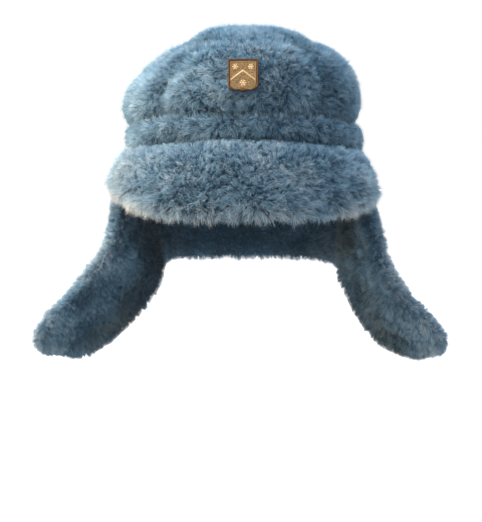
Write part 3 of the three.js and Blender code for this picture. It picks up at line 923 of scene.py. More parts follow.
@dataclass
class Crown:
    """Five panels of pile over the head: a top panel, a front, two sides and a back.

    Attributes:
        at: places down the profile, 0 at the apex and 1 at the roll, for the five rows after it.
        slope_length: the profile's length.
        foot_curl: how far the crown's foot curls in over the roll.
        top_seam: the top panel's seam on the profile, with its half width there and its depth.
        seams: the upright seams' angles, with their depth and half width in degrees.
        seam_gap: how far the backings keep off a seam, on the profile and in degrees.
        apex: where the top panel's rails start.
        rails: the number of rows down a panel.
        steps: the degrees between sections, of the top panel and of the others.
        seam_short: the share that the pile is shorter at the seams.
        foot_short: the share that it is shorter at the crown's foot.
        badge_short: the share that it is shorter under the badge.
        seam_shade: painted shade, how much darker it is in the seams and in the valley at the foot.
        badge_at: the badge's middle on the profile.
        badge_half: the half width and half height of the pile that the badge presses flat.
        badge_margin: how far beyond the badge the pile stands full again.
        pressed: the pile's height under the badge.
    """

    at: tuple = (0, 0.14, 0.28, 0.42, 0.56, 0.7, 0.85, 1)
    height: tuple = (177, 175.5, 169, 158, 145, 129, 106, 75)
    left: tuple = (0, 30, 55, 78, 99, 111, 117, 115)
    right: tuple = (0, 26, 45, 62, 84, 101, 118, 119)
    front: tuple = (0, 33, 64, 91, 109, 119, 125, 127)
    back: tuple = (0, 36, 64, 87, 104, 117, 126, 130)
    slope_length: float = 190
    wall: float = 18
    pile_height: float = 6.5
    pile_length: float = 8.8
    foot_curl: float = 4.5
    top_seam: float = 0.36
    top_seam_width: float = 0.05
    top_seam_dip: float = 1.8
    seams: tuple = (-138, -42, 42, 138)
    seam_dip: float = 5.5
    seam_spread: float = 7
    seam_gap: tuple = (0.0006, 0.03)
    apex: float = 0.012
    rails: int = 42
    steps: tuple = (3, 1.8)
    seam_short: float = 0.22
    foot_short: float = 0.3
    badge_short: float = 0.8
    seam_shade: float = 0.16
    badge_at: float = 0.77
    badge_half: tuple = (14.5, 16.5)
    badge_margin: float = 4
    pressed: float = 2.2
    pad: float = 0.6

    def profile(self, at: Array, degrees: Array) -> tuple[Array, Array, Array]:
        """Reads the profile, lifted over the forehead more and more towards the roll.

        Args:
            at: places down the profile, 0 at the apex and 1 at the roll.
            degrees: the angle from the front towards the wearer's left.

        Returns:
            The reaches to the left, right, front and back, the height, and how far above level
            the surface faces, in radians.
        """
        rows = np.stack([self.left, self.right, self.front, self.back, self.height], -1).astype(float)
        table = column(rows, np.interp(at, self.at, np.arange(len(self.at))))
        height = table[..., 4] + PLAN.lift(PLAN.top_lift, degrees) * at**2
        return table[..., :4], height, 90 * (1 - at) * DEGREE

    def seam_depth(self, degrees: Array) -> Array:
        """Returns how near an upright seam lies: a bell round each."""
        away = (degrees[..., None] - np.array(self.seams)) / self.seam_spread
        return np.exp(-(away**2)).sum(-1)

    def top_seam_depth(self, at: Array) -> Array:
        """Returns how near the top panel's seam lies: a bell round it."""
        return np.exp(-(((at - self.top_seam) / self.top_seam_width) ** 2))

    def outer(self, at: Array, degrees: Array) -> Array:
        """Works out the pile's outer surface: the profile, its seams pressed in and its tufts raised.

        Args:
            at: places down the profile.
            degrees: the angle from the front.

        Returns:
            The points.
        """
        reach, height, steep = self.profile(at, degrees)
        inward = self.seam_dip * self.seam_depth(degrees) * smooth(at, 0.2, 0.5)
        inward = inward + self.foot_curl * smooth(at, 0.88, 1) ** 2
        bump = tufts(degrees * ARC, at * self.slope_length) * smooth(at, 0, 0.6) * smooth(1 - at, 0, 0.1)
        push = np.maximum(-reach[..., LEFT], bump * np.cos(steep) - inward)
        height = height - self.top_seam_dip * self.top_seam_depth(at) + bump * np.sin(steep)
        return PLAN.point(reach + push[..., None], degrees, height)

    def inner(self, at: Array, degrees: Array) -> Array:
        """Works out the lining's surface: the profile moved in by the wall, square to its slope.

        Args:
            at: places down the profile.
            degrees: the angle from the front.

        Returns:
            The points.
        """
        reach, height, steep = self.profile(at, degrees)
        inward = np.minimum(self.wall * np.cos(steep), reach[..., LEFT])
        return PLAN.point(reach - inward[..., None], degrees, height - self.wall * np.sin(steep))

    def under_badge(self, points: Array) -> Array:
        """Finds where the badge presses the pile flat.

        Args:
            points: places on the outer surface.

        Returns:
            1 under the badge, falling to 0 at the margin beyond its edges.
        """
        middle = self.outer(np.array([self.badge_at]), np.zeros(1))[0]
        beyond = (np.abs(points - middle)[..., [0, 2]] - self.badge_half).max(-1)
        return smooth(1 - beyond / self.badge_margin) * (points[..., 1] < 0)

    def panel(
        self, from_at: float, to_at: float, from_degrees: float, to_degrees: float, is_ring: bool
    ) -> Skin:
        """Makes one panel's padded form.

        Args:
            from_at: the panel's upper edge on the profile.
            to_at: its lower edge.
            from_degrees: its first upright edge.
            to_degrees: its last upright edge.
            is_ring: True for the top panel, which goes all the way round.

        Returns:
            The form, with its outer face sunk by the pile's height.
        """
        step = self.steps[0] if is_ring else self.steps[1]
        turns = int(abs(to_degrees - from_degrees) / step)
        degrees = np.linspace(from_degrees, to_degrees, turns + 1)
        if is_ring:
            degrees = degrees[:-1]
        degrees = np.where(degrees > 180, degrees - 360, degrees)
        at, turn = np.meshgrid(np.linspace(from_at, to_at, self.rails), degrees)
        outer, inner = self.outer(at, turn), self.inner(at, turn)
        along = np.roll(outer, -1, 0) - np.roll(outer, 1, 0) if is_ring else np.gradient(outer, axis=0)
        out = unit(np.cross(np.gradient(outer, axis=1), along))
        out = out * np.sign(dot(out, outer - inner))
        flat = self.under_badge(outer)
        sunk = mix(self.pile_height, self.pressed, smooth(flat, 0.5, 1))
        outer = outer - out * sunk[..., None]
        comb = towards(outer, 1)
        near = self.seam_depth(turn) + 0.5 * self.top_seam_depth(at)
        foot = smooth(at, 0.92, 1)
        pile = self.pile_length * (1 - self.seam_short * np.clip(near, 0, 1))
        pile = pile * (1 - self.foot_short * foot) * (1 - self.badge_short * flat)
        # Painted shade: darker pile in the seams and in the valley at the crown's foot.
        shade = -self.seam_shade * np.clip(near + foot, 0, 1)
        return wrapped(
            (outer, inner),
            (comb, comb),
            (pile, 0 * pile),
            (shade, 0 * shade),
            is_ring=is_ring,
            has_poles=is_ring,
        )

    def build(self, finishes: list) -> None:
        """Builds the five panels.

        Args:
            finishes: the pile's material and the lining's.
        """
        back_right, front_right, front_left, back_left = self.seams
        gap, turn = self.seam_gap
        top = self.panel(self.apex, self.top_seam - gap, -180, 180, True)
        build_fabric("top_panel", "crown_top", top, coat(SEED + 10), finishes)
        uprights = {
            "front": (front_right, front_left),
            "side_left": (front_left, back_left),
            "side_right": (back_right, front_right),
            "back": (back_left, back_right + 360),
        }
        for number, (name, (start, end)) in enumerate(uprights.items()):
            skin = self.panel(self.top_seam + gap, 1.0, start + turn, end - turn, False)
            fibres = coat(SEED + 20 + number)
            build_fabric(name + "_panel", "crown_" + name, skin, fibres, finishes)


# The roll


@dataclass
class RollBand:
    """The stuffed roll round the crown's foot, and the rim wall that goes down inside the flaps.

    Attributes:
        reach: how far the roll goes to the left, right, front and back.
        crown_foot: how far the crown's foot goes.
        profile: for each row from the underside up to the valley, 0 to start from the rim wall or 1
            from the crown's foot, the share of the way from there to the roll's reach, and the share
            of the height.
        tucked: how far inside the crown's foot the upper edge ends.
        crown_wall: how far inside the crown's foot its lining is.
        seam: the gap left under the crown.
        sole: the share of the pile's height by which the underside is sunk.
        sections: the number of sections round the roll, each of so many rails.
        short: the share of the pile's length under the roll and in the valley.
        hidden_shade: painted shade, how much darker the pile is there.
        rim_pile: the short pile's length on the rim wall, with how far its backing is sunk.
        rim_shade: painted shade, how much darker that pile is, inside the hat below the roll.
    """

    top: float = 75
    bottom: float = 48
    reach: tuple = (119, 117, 132, 137)
    crown_foot: tuple = (115.0, 119.0, 127.0, 130.0)
    profile: tuple = (
        (0, 0.0, 0.0),
        (0, 0.55, 0.0),
        (0, 0.95, 0.2),
        (1, 0.95, 0.62),
        (1, 0.6, 0.92),
        (1, -0.07, 1.0),
    )
    pile_length: float = 8.8
    pile_height: float = 6.5
    tucked: float = 8.6
    crown_wall: float = 18
    seam: float = 0.4
    sole: float = 0.35
    sections: int = 132
    rails: int = 30
    short: float = 0.7
    hidden_shade: float = 0.1
    rim_pile: float = 4.6
    rim_shade: float = 0.2
    rim_sunk: float = 4
    rim_bottom: float = 1
    rim_seam: float = 0.6
    rim_sections: int = 120
    rim_rails: int = 10

    def edges(self, degrees: Array) -> tuple[Array, Array]:
        """Returns the heights of the roll's underside and of its top."""
        bottom = self.bottom + PLAN.lift(PLAN.bottom_lift, degrees)
        return bottom, self.top + PLAN.lift(PLAN.top_lift, degrees) - self.seam

    def skin(self) -> Skin:
        """Makes the roll's form: its profile carried round the plan, sunk by the pile's height.

        Returns:
            The form. Its pile is combed down, and into the valley at its upper edge.
        """
        degrees = np.linspace(-180, 180, self.sections, endpoint=False)
        bottom, high = self.edges(degrees)
        low = bottom + self.pile_height * self.sole
        bump = tufts(degrees * ARC, np.full_like(degrees, (self.top + self.bottom) / 2))
        reach = np.array(self.reach)[None] + bump[:, None] - self.pile_height
        rim = PLAN.reach(PLAN.ease + PLAN.rim_wall)[None]
        foot = np.array(self.crown_foot)[None] - self.tucked
        rings = []
        for side, out, up in self.profile:
            ring = mix((rim, foot)[side], reach, out)
            rings.append(np.concatenate([ring, mix(low, high, up)[:, None]], 1))
        fine = column(np.stack(rings), np.linspace(0, len(rings) - 1, self.rails)).transpose(1, 0, 2)
        turn = degrees[:, None] + np.zeros(fine.shape[:2])
        outer = PLAN.point(fine[..., :4], turn, fine[..., 4])
        shares = np.linspace(0, 1, fine.shape[1])[None] + 0 * turn
        crown_lining = np.array(self.crown_foot) - self.crown_wall
        lining = mix(PLAN.reach(PLAN.ease), crown_lining, smooth(shares, 0.1, 1)[..., None])
        inner = PLAN.point(lining, turn, mix(low[:, None], high[:, None], shares))
        comb = towards(outer, 1) * mix(-1, 1, smooth(shares, 0.8, 0.9)[..., None])
        front = smooth(shares, 0.3, 0.44) * smooth(1 - shares, 0, 0.14)
        pile = self.pile_length * mix(self.short, 1.0, front)
        # Painted shade: darker pile under the roll and in the valley at its top.
        shade = -self.hidden_shade * (1 - front)
        return wrapped((outer, inner), (comb, comb), (pile, 0 * pile), (shade, 0 * shade), is_ring=True)

    def rim_skin(self) -> Skin:
        """Makes the rim wall's form, a plain ring.

        Returns:
            The form, with short pile outside and lining inside.
        """
        degrees = np.linspace(-180, 180, self.rim_sections, endpoint=False)
        share, turn = np.meshgrid(np.linspace(0, 1, self.rim_rails), degrees)
        bottom, _ = self.edges(turn)
        height = mix(self.rim_bottom, bottom - self.rim_seam, share)
        wide = 0 * turn[..., None]
        outer = PLAN.point(PLAN.reach(PLAN.ease + PLAN.rim_wall - self.rim_sunk) + wide, turn, height)
        inner = PLAN.point(PLAN.reach(PLAN.ease) + wide, turn, height)
        comb = -towards(outer, 1)
        # Painted shade: the rim wall's pile is darker, inside the hat below the roll.
        pile, shade = self.rim_pile + 0 * share, 0 * share - self.rim_shade
        return wrapped((outer, inner), (comb, comb), (pile, 0 * pile), (shade, 0 * shade), is_ring=True)

    def build(self, finishes: list) -> None:
        """Builds the roll and the rim wall."""
        build_fabric("roll", "crown_band", self.skin(), coat(SEED + 40), finishes)
        build_fabric("inner_rim", "rim_wall", self.rim_skin(), coat(SEED + 45, share=0.25), finishes)


# The visor


@dataclass
class Visor:
    """The broad padded visor, furred on both faces, with a shaggy free edge.

    Attributes:
        half_angle: the angle from the front to each end.
        overhang: how much further the form goes than that, in degrees.
        tuck: how far the root goes up under the roll.
        end_rise: how much higher the edge ends on the left and the right.
        end_power: how late it rises there, as a power of the way to the end.
        root_share: the share of the way to the edge where the full thickness is reached.
        crowning: how far the middle line bulges out and up.
        fringe_from: the share of the way to the edge where the longer pile starts.
        least: the least half thickness of the backing.
        wear_and_painted_light: painted light, how much paler the pile is towards the wearer's right, where
            the key light falls.
        under: the under side's pile as a share of the upper side's.
        under_cover: its blades as a share of the full number, as little of it shows.
        under_shade: painted shade, how much darker it is under the visor.
        fringe_shade: how much paler the free edge is.
        root_shade: painted shade, how much darker the root is, under the roll.
    """

    half_angle: float = 80
    overhang: float = 0.4
    tuck: float = 1
    root_side: float = 109
    root_front: float = 124
    edge_side: float = 127
    edge_front: float = 172
    edge_height: float = -4
    end_rise: tuple = (16, 26)
    end_power: tuple = (4, 3)
    half_thickness: float = 13
    root_half_thickness: float = 7
    root_share: float = 0.4
    crowning: tuple = (6.3, 4.5)
    roll_bottom: float = 48
    length: float = 90
    pile_length: float = 8.8
    fringe_length: float = 13.5
    fringe_from: float = 0.72
    pile_height: float = 6.5
    edge_inset: float = 0.03
    least: float = 1.2
    wear_and_painted_light: float = 0.17
    under: float = 0.8
    under_cover: float = 0.55
    under_shade: float = 0.1
    fringe_shade: float = 0.22
    root_shade: float = 0.12
    sections: int = 111
    rails: int = 34

    def end_round(self, outward: Array) -> Array:
        """Returns the share of the thickness towards an end: the root of 1 less the eighth power."""
        return np.sqrt(np.maximum(0.02, 1 - outward**8))

    def line(self, degrees: Array, share: Array) -> Array:
        """Works out the middle line: from the root under the roll to the edge, crowned between.

        Args:
            degrees: the angle from the front.
            share: the share of the way from the root to the edge.

        Returns:
            The points.
        """
        outward = np.abs(degrees) / self.half_angle
        root = np.array([self.root_side, self.root_side, self.root_front, 0.0])
        edge = np.array([self.edge_side, self.edge_side, self.edge_front, 0.0])
        bulge = np.sin(math.pi * share) * self.end_round(outward)
        root_height = self.roll_bottom + PLAN.lift(PLAN.bottom_lift, degrees) + self.tuck
        rise = np.where(degrees > 0, *self.end_rise) * outward ** np.where(degrees > 0, *self.end_power)
        out, up = self.crowning
        reach = mix(root, edge, share[..., None]) + bulge[..., None] * out
        height = mix(root_height, self.edge_height + rise, share) + bulge * up
        return PLAN.point(reach, degrees, height)

    def skin(self) -> Skin:
        """Makes the visor's form: its half thickness laid off square to the middle line both ways.

        Returns:
            The form. Its pile is combed to the edge, and outwards at the ends.
        """
        ends = self.half_angle + self.overhang
        down = np.linspace(0, 1, self.rails) ** 0.9
        share, degrees = np.meshgrid(down, crowded(self.sections, 0.12) * ends)
        place = share * (1 - self.edge_inset)
        line = self.line(degrees, place)
        before, after = np.maximum(0, place - 0.02), np.minimum(1, place + 0.02)
        run = self.line(degrees, after) - self.line(degrees, before)
        edge = np.array([self.edge_side, self.edge_side, self.edge_front, 0.0]) + 1
        radial = unit(PLAN.point(edge, degrees, 0 * degrees))
        level = -run[..., 2:] * radial[..., :2]
        square = unit(np.concatenate([level, dot(run, radial)], -1))
        outward = np.abs(degrees) / ends
        full = mix(self.root_half_thickness, self.half_thickness, smooth(place, 0, self.root_share))
        tail = rounded(share, self.fringe_from, 1, 0.0)
        thick = np.maximum(self.least, full - self.pile_height) * np.maximum(tail, 0.06)
        thick = thick * self.end_round(outward)
        bump = tufts(degrees * ARC, place * self.length) * tail * smooth(place, 0, self.root_share)
        outer = line + square * (thick + bump)[..., None]
        inner = line - square * thick[..., None]
        aside = 0.9 * smooth(outward, 0.8, 1) * np.sign(degrees)
        away = towards(line, 1) + aside[..., None] * towards(line, 0)
        fringe = smooth(share, self.fringe_from, 0.92)
        pile = mix(self.pile_length, self.fringe_length, fringe)
        under = pile * self.under
        tucked = smooth(share, 0.02, 0.14) + smooth(outward, 0.92, 1)
        pile = pile * mix(1, 1.1, smooth(outward, 0.9, 1)) * mix(0.3, 1, np.minimum(1, tucked))
        # Painted light: the pile is paler towards the wearer's right end, on the key light's side.
        shade = 0.03 + self.wear_and_painted_light * smooth(-degrees, 25, 65)
        shade = shade + self.fringe_shade * smooth(share, 0.84, 1)
        # Painted shade at the root, under the roll.
        shade = shade - self.root_shade * smooth(0.1 - share, 0, 0.1)
        # Painted shade on the under side.
        shades, covers = (shade, shade - self.under_shade), (1.0, self.under_cover)
        return wrapped((outer, inner), (away, away), (pile, under), shades, covers)

    def build(self, finishes: list) -> None:
        """Builds the visor."""
        build_fabric("front_visor", "visor", self.skin(), coat(SEED + 50, shag=0.3), finishes)


# The flaps


@dataclass
class EarFlap:
    """One ear flap: sections across it from under the roll down to its turned-out tip.

    Attributes:
        rows: x, y, z, tilt, door, half width, half thickness and bow for each section.
        side: 1 on the wearer's left, -1 on the right.
        name: the frame's node.
        seed: the start of the random draws.
        last_place: the row number at which the form ends.
        tip_from: the row number from which the tip closes.
        section_pitch: about the distance between two rows.
        least: the least half thickness of the backing.
        splay: how far the pile is combed towards the front and back edges.
        inner_short: the share that the pile is shorter on the inner face.
        rim_shade: painted light, how much paler the edges are, where they catch the light.
        shelter: the row number down to which the roll darkens the pile with painted shade, and by how much.
        hollow: painted shade, how much darker the inner face is, at its front and further back.
    """

    rows: tuple
    side: int
    name: str
    seed: int
    pile_length: float = 8.2
    pile_height: float = 6.2
    last_place: float = 9.8
    tip_from: float = 8.6
    section_pitch: float = 20
    least: float = 1.5
    splay: float = 0.4
    inner_short: float = 0.28
    rim_shade: float = 0.2
    shelter: tuple = (5, 0.12)
    hollow: tuple = (0.05, 0.25)
    sections: int = 56
    rails: int = 30

    def at(self, place: Array) -> dict[str, Array]:
        """Reads the table of sections.

        Args:
            place: row numbers with fractions, down the flap.

        Returns:
            Each section's middle, its directions across and square to the flap, and its sizes.
        """
        table = column(np.array(self.rows, float), place)
        tilt, door = table[..., 3] * DEGREE, table[..., 4] * DEGREE
        outwards = np.stack([np.cos(tilt), 0 * tilt, np.sin(tilt)], -1)
        backwards = np.array([0.0, 1.0, 0.0])
        cos, sin = np.cos(door)[..., None], np.sin(door)[..., None]
        return {
            "centre": table[..., :3],
            "across": backwards * cos - outwards * sin,
            "square": outwards * cos + backwards * sin,
            "half": table[..., 5],
            "thick": table[..., 6],
            "bow": table[..., 7],
        }

    def point(self, place: Array, share: Array, lift: Array, half: Array | None = None) -> Array:
        """Places points on the flap, whose sections are bowed by the square of the way across.

        Args:
            place: row numbers with fractions, down the flap.
            share: -1 at the front edge and 1 at the back edge.
            lift: the distance out of the middle face.
            half: the half width, or None for the table's.

        Returns:
            The points.
        """
        section = self.at(place)
        wide = section["half"] if half is None else half
        made = (
            section["centre"]
            + section["across"] * (share * wide)[..., None]
            + section["square"] * (lift - section["bow"] * share**2)[..., None]
        )
        return made * np.array([self.side, 1.0, 1.0])

    def skin(self) -> Skin:
        """Makes the flap's form: rounded sections, sunk by the pile's height all round.

        Returns:
            The form. Its pile is combed down and splayed to the edges, is paler at the edges with painted
            light, and is darker with painted shade in the roll's shelter and in the hollow of the inner
            face.
        """
        down = np.linspace(0, 1, self.sections) * self.last_place
        share, place = np.meshgrid(crowded(self.rails, 0.6), down)
        section = self.at(place)
        closing = rounded(place, self.tip_from, self.last_place + 0.02, 0.05)
        half = (section["half"] - self.pile_height) * mix(1, closing, 0.25)
        thick = np.maximum(self.least, section["thick"] - self.pile_height) * closing
        corner = np.minimum(0.9, thick / half * 1.4)
        rounding = rounded(np.abs(share), 1 - corner, 1, 0.002)
        rim = smooth(np.abs(share), 0.8, 1) + smooth(place, self.tip_from, 9.2)
        rim = np.clip(rim, 0, 1)
        until, darker = self.shelter
        sheltered = smooth(until - place, 0, 2.5)
        faces, combs, piles, shades = [], [], [], []
        for facing in (1, -1):
            down = place * self.section_pitch + facing * 11
            bump = tufts(share * section["half"], down) * rounding * 0.8
            rail = self.point(place, share, facing * (thick + bump) * rounding, half)
            splay = self.splay * share**3
            faces.append(rail)
            combs.append(towards(rail, 0) + splay[..., None] * towards(rail, 1))
            is_inner = facing < 0
            piles.append(self.pile_length * (1 - self.inner_short * (1 - rim) * is_inner))
            # Painted shade: darker in the hollow of the inner face.
            hollow = (self.hollow[0] + self.hollow[1] * smooth(share, -0.4, 0.5)) * is_inner
            # Painted light on the edges, and painted shade in the roll's shelter.
            shades.append(mix(self.rim_shade * rim, -darker, sheltered) - 0.04 - hollow)
        return wrapped(tuple(faces), tuple(combs), tuple(piles), tuple(shades))

    def build(self, finishes: list) -> None:
        """Builds the flap."""
        fibres = coat(self.seed, share=0.92)
        build_fabric(self.name + "_panel", self.name, self.skin(), fibres, finishes)


@dataclass
class NeckFlap:
    """The curtain round the back of the neck, from ear flap to ear flap.

    Attributes:
        start: the angle from the front at which it joins the flaps.
        blend: over how many degrees it is led from them to the plan outline.
        flare: how much further its lower edge reaches.
        joins_at: the flaps' row number at its lower corners.
        join_across: where across the flaps it joins them, 1 being their back edge.
        drop: the share of the height that the backing takes, above the pile of the edge.
        least: the least half thickness of the backing.
        fringe: the pile's length on the lower edge, as a share of the rest's, and how much paler.
        inner: the inner face's pile as a share of the outer's, its blades, and how much darker it is with
            painted shade.
    """

    left: EarFlap
    right: EarFlap
    start: float = 122
    blend: float = 26
    side: float = 109
    back: float = 126
    flare: float = 10
    top: float = 56
    bottom: float = -72
    length: float = 120
    half_thickness: float = 11
    joins_at: float = 5.2
    join_across: float = 0.9
    drop: float = 0.93
    least: float = 1.2
    fringe: tuple = (1.2, 0.15)
    inner: tuple = (0.75, 0.55, 0.2)
    sections: int = 80
    rails: int = 36
    pile_length: float = 8.8
    pile_height: float = 6.5

    def line(self, degrees: Array, share: Array) -> Array:
        """Works out the middle: the plan outline, led over to the flaps' back edges at its ends.

        Args:
            degrees: the angle from the front.
            share: the share of the way down.

        Returns:
            The points.
        """
        reach = np.array([self.side, self.side, self.back, self.back]) + (self.flare * share)[..., None]
        free = PLAN.point(reach, degrees, mix(self.top, self.bottom, share))
        across = 0 * share + self.join_across
        edges = [flap.point(self.joins_at * share, across, 0 * share) for flap in (self.left, self.right)]
        joined = np.where((degrees > 0)[..., None], *edges)
        led = smooth(np.abs(degrees), self.start, self.start + self.blend)
        return mix(joined, free, led[..., None])

    def skin(self) -> Skin:
        """Makes the curtain's form: its half thickness laid off square to the line both ways.

        Returns:
            The form. Its pile is combed down, and is longer and paler on the lower edge.
        """
        turn = np.linspace(self.start, 360 - self.start, self.sections)
        turn = np.where(turn > 180, turn - 360, turn)
        share, degrees = np.meshgrid(np.linspace(0, 1, self.rails), turn)
        place = share * self.drop
        line = self.line(degrees, place)
        aside = self.line(degrees + 1, place) - self.line(degrees - 1, place)
        square = unit(np.stack([aside[..., 1], -aside[..., 0], 0 * place], -1))
        away = (np.abs(degrees) - self.start) / self.blend
        tail = rounded(share, 0.86, 1, 0.01)
        head = mix(0.6, 1, smooth(share, 0, 0.2)) * mix(0.7, 1, smooth(away, 0, 0.5))
        thick = np.maximum(self.least, self.half_thickness * head - self.pile_height) * tail
        bump = tufts(degrees * ARC, place * self.length) * tail * head * smooth(away)
        outer = line + square * (thick + bump)[..., None]
        inner = line - square * thick[..., None]
        comb = towards(line, 1)
        edge = smooth(share, 0.85, 1)
        longer, paler = self.fringe
        shorter, fewer, darker = self.inner
        pile = self.pile_length * mix(1, longer, edge)
        shade = paler * edge - 0.06
        # Painted shade: the inner face is darker.
        shades = (shade, shade - darker)
        return wrapped((outer, inner), (comb, comb), (pile, pile * shorter), shades, (1.0, fewer))

    def build(self, finishes: list) -> None:
        """Builds the curtain."""
        build_fabric("neck_curtain", "neck_flap", self.skin(), coat(SEED + 90, share=0.9), finishes)


RIGHT_ROWS = (
    (107, 28, 57, 0, 9, 46, 5, 6),
    (110, 27, 43, 0, 9, 52, 11, 6),
    (114, 24, 18, 2, 10, 52, 12.5, 6),
    (116, 18, -10, 4, 15, 50, 13, 6),
    (113, 12, -38, 10, 26, 52, 13, 5),
    (115, 8, -61, 24, 36, 54, 13, 5),
    (128, 6, -83, 35, 40, 54, 13, 3),
    (147, 4, -106, 36, 40, 53, 13, 2),
    (167, 3, -126, 30, 40, 53, 12.5, 2),
    (180, 2, -143, 18, 40, 48, 11, 1),
    (183, 2, -155, 14, 40, 32, 5, 0),
)
LEFT_ROWS = (
    (107, 28, 57, 0, 9, 46, 5, 6),
    (110, 27, 43, 0, 9, 52, 11, 6),
    (115, 24, 18, 2, 9, 52, 12.5, 6),
    (119, 18, -10, 5, 12, 50, 13, 6),
    (121, 12, -38, 12, 18, 52, 13, 5),
    (123, 8, -62, 25, 24, 54, 13, 5),
    (132, 6, -84, 32, 27, 54, 13, 3),
    (145, 4, -106, 34, 31, 53, 13, 2),
    (163, 3, -127, 33, 33, 52, 12.5, 2),
    (181, 2, -143, 28, 33, 46, 11, 1),
    (189, 2, -156, 24, 33, 30, 5, 0),
)


# The badge


@dataclass
class Badge:
    """A small struck shield: a double rim, a chevron and three rosettes on a ground of small lozenges.

    Attributes:
        corner: the radius of the lower corners.
        point: the height of the small point below them, with its half width.
        plate: the plate's thickness.
        relief: how far the relief stands above it.
        proud: how far the plate's face stands out of the pile's outer surface.
        bevel: how wide the edge slopes.
        rim: the rim's width.
        inner_line: how far inside the edge the second line runs.
        chevron: the height of its top, the slope of its arms and their half thickness.
        rosettes: the place across and up and the radius of each.
        pitch: the spacing of the ridges on the ground.
        grid: the number of points across and up.
    """

    width: float = 29
    height: float = 33
    corner: float = 6
    point: float = 2.4
    point_half: float = 4
    plate: float = 1.8
    relief: float = 0.9
    proud: float = 0.4
    bevel: float = 0.7
    rim: float = 1.7
    inner_line: float = 2.9
    chevron: tuple = (4.6, 0.78, 1.7)
    rosettes: tuple = ((-7.4, 8.4, 3.3), (7.4, 8.4, 3.3), (0, -7.4, 3.8))
    pitch: float = 2.6
    post_radius: float = 1.6
    post_length: float = 9
    post_sides: int = 20
    grid: tuple = (118, 132)

    def placement(self, crown: Crown) -> tuple[Array, Array]:
        """Finds where the badge goes on the front panel.

        Args:
            crown: the crown that carries it.

        Returns:
            The badge's middle, and its directions across, up and out, square to the panel.
        """
        places = crown.badge_at + np.array([0, -0.1, 0.1])
        middle, above, below = crown.outer(places, np.zeros(3))
        lean = math.atan2(above[1] - below[1], above[2] - below[2])
        out = np.array([0.0, -math.cos(lean), math.sin(lean)])
        up = np.array([0.0, math.sin(lean), math.cos(lean)])
        return middle + out * (self.proud - self.plate), np.stack([np.array([1.0, 0.0, 0.0]), up, out])

    def half_width_at(self, v: Array) -> Array:
        """Works out the outline: straight sides, round lower corners and a small point.

        Args:
            v: places up the badge.

        Returns:
            The shield's half width there.
        """
        low = -self.height / 2 + self.point
        into = np.clip((low + self.corner - v) / self.corner, 0, 1)
        body = self.width / 2 - self.corner * (1 - np.sqrt(np.maximum(0, 1 - into**2)))
        tip = self.point_half * np.clip((v + self.height / 2) / self.point, 0, 1)
        return np.where(v < low, tip, body)

    def surface(self, u: Array, v: Array, edge: Array) -> Array:
        """Works out the relief.

        The rim and the line inside it follow the distance from the edge. The chevron is a bent bar,
        each rosette a domed disc with six petals. The ground is a lattice of two crossed sets of
        ridges, with a pellet in each lozenge.

        Args:
            u: places across.
            v: places up.
            edge: the distance from the shield's edge.

        Returns:
            The height above the plate, 0 to 1.
        """
        inside = edge > 3
        line = 0.6 * smooth(1 - np.abs(edge - self.inner_line) / 0.5)
        made = np.maximum(smooth(self.rim - edge, 0, 0.5), line)
        top, slope, half = self.chevron
        off = np.abs(v - top + slope * np.abs(u))
        bar = smooth(1.25 - off / half) * inside
        ridge = 0.25 * smooth(1 - off / 0.6)
        made = np.maximum(made, (0.62 * smooth(bar) + ridge * bar) * inside)
        for x, y, size in self.rosettes:
            far, turn = np.hypot(u - x, v - y), np.arctan2(v - y, u - x)
            petals = 0.62 + 0.3 * np.cos(6 * turn) * smooth(far / size * 1.4)
            made = np.maximum(made, petals * smooth(size - far, 0, 1.1) + 0.35 * smooth(1 - far / 1.1))
        first, second = (u + 0.8 * v) * math.pi / self.pitch, (u - 0.8 * v) * math.pi / self.pitch
        lattice = 0.5 * np.maximum(np.cos(first) ** 8, np.cos(second) ** 8)
        pellets = 0.5 * smooth(np.sin(first) ** 2 * np.sin(second) ** 2 * 2 - 0.7)
        return np.maximum(made, np.maximum(lattice, pellets) * (edge > 3.4) + 0.04)

    def build(self, crown: Crown, finish: bpy.types.Material) -> None:
        """Builds the badge: a grid over the shield as its face, its rim flat as its back, and the post.

        Args:
            crown: the crown that carries it.
            finish: its metal.
        """
        across, rise = self.grid
        half_height = self.height / 2
        v = np.linspace(-half_height + 0.02, half_height, rise)[:, None]
        half = self.half_width_at(v)
        u = crowded(across, 0.35)[None] * half
        v = v + 0 * u
        from_bottom = v + half_height - 1.2 + 0.2 * np.abs(u)
        edge = np.minimum(half - np.abs(u), np.minimum(half_height - v, from_bottom))
        level = self.surface(u, v, edge)
        slope = np.sqrt(np.clip(edge / self.bevel, 0, 1))
        lift = (self.plate + self.relief * level) * mix(0.25, 1, slope)
        face = np.stack([u, v, lift], -1).reshape(-1, 3)

        number = np.arange(rise * across).reshape(rise, across)
        quads = np.stack([number[:-1, :-1], number[:-1, 1:], number[1:, 1:], number[1:, :-1]], -1)
        loop = np.concatenate([number[0], number[1:, -1], number[-1, -2::-1], number[-2:0:-1, 0]])
        rear = len(face) + np.arange(len(loop))
        walls = np.stack([loop, rear, np.roll(rear, -1), np.roll(loop, -1)], -1)

        n, m = self.post_sides, np.arange(self.post_sides)
        turn = m * 2 * math.pi / n
        ring = np.stack([np.cos(turn), np.sin(turn)], -1) * self.post_radius
        post = np.concatenate([np.c_[ring, np.full(n, end)] for end in (0.5, -self.post_length)])
        start = len(face) + len(loop)
        sides = np.stack([m, m + n, (m + 1) % n + n, (m + 1) % n], -1) + start

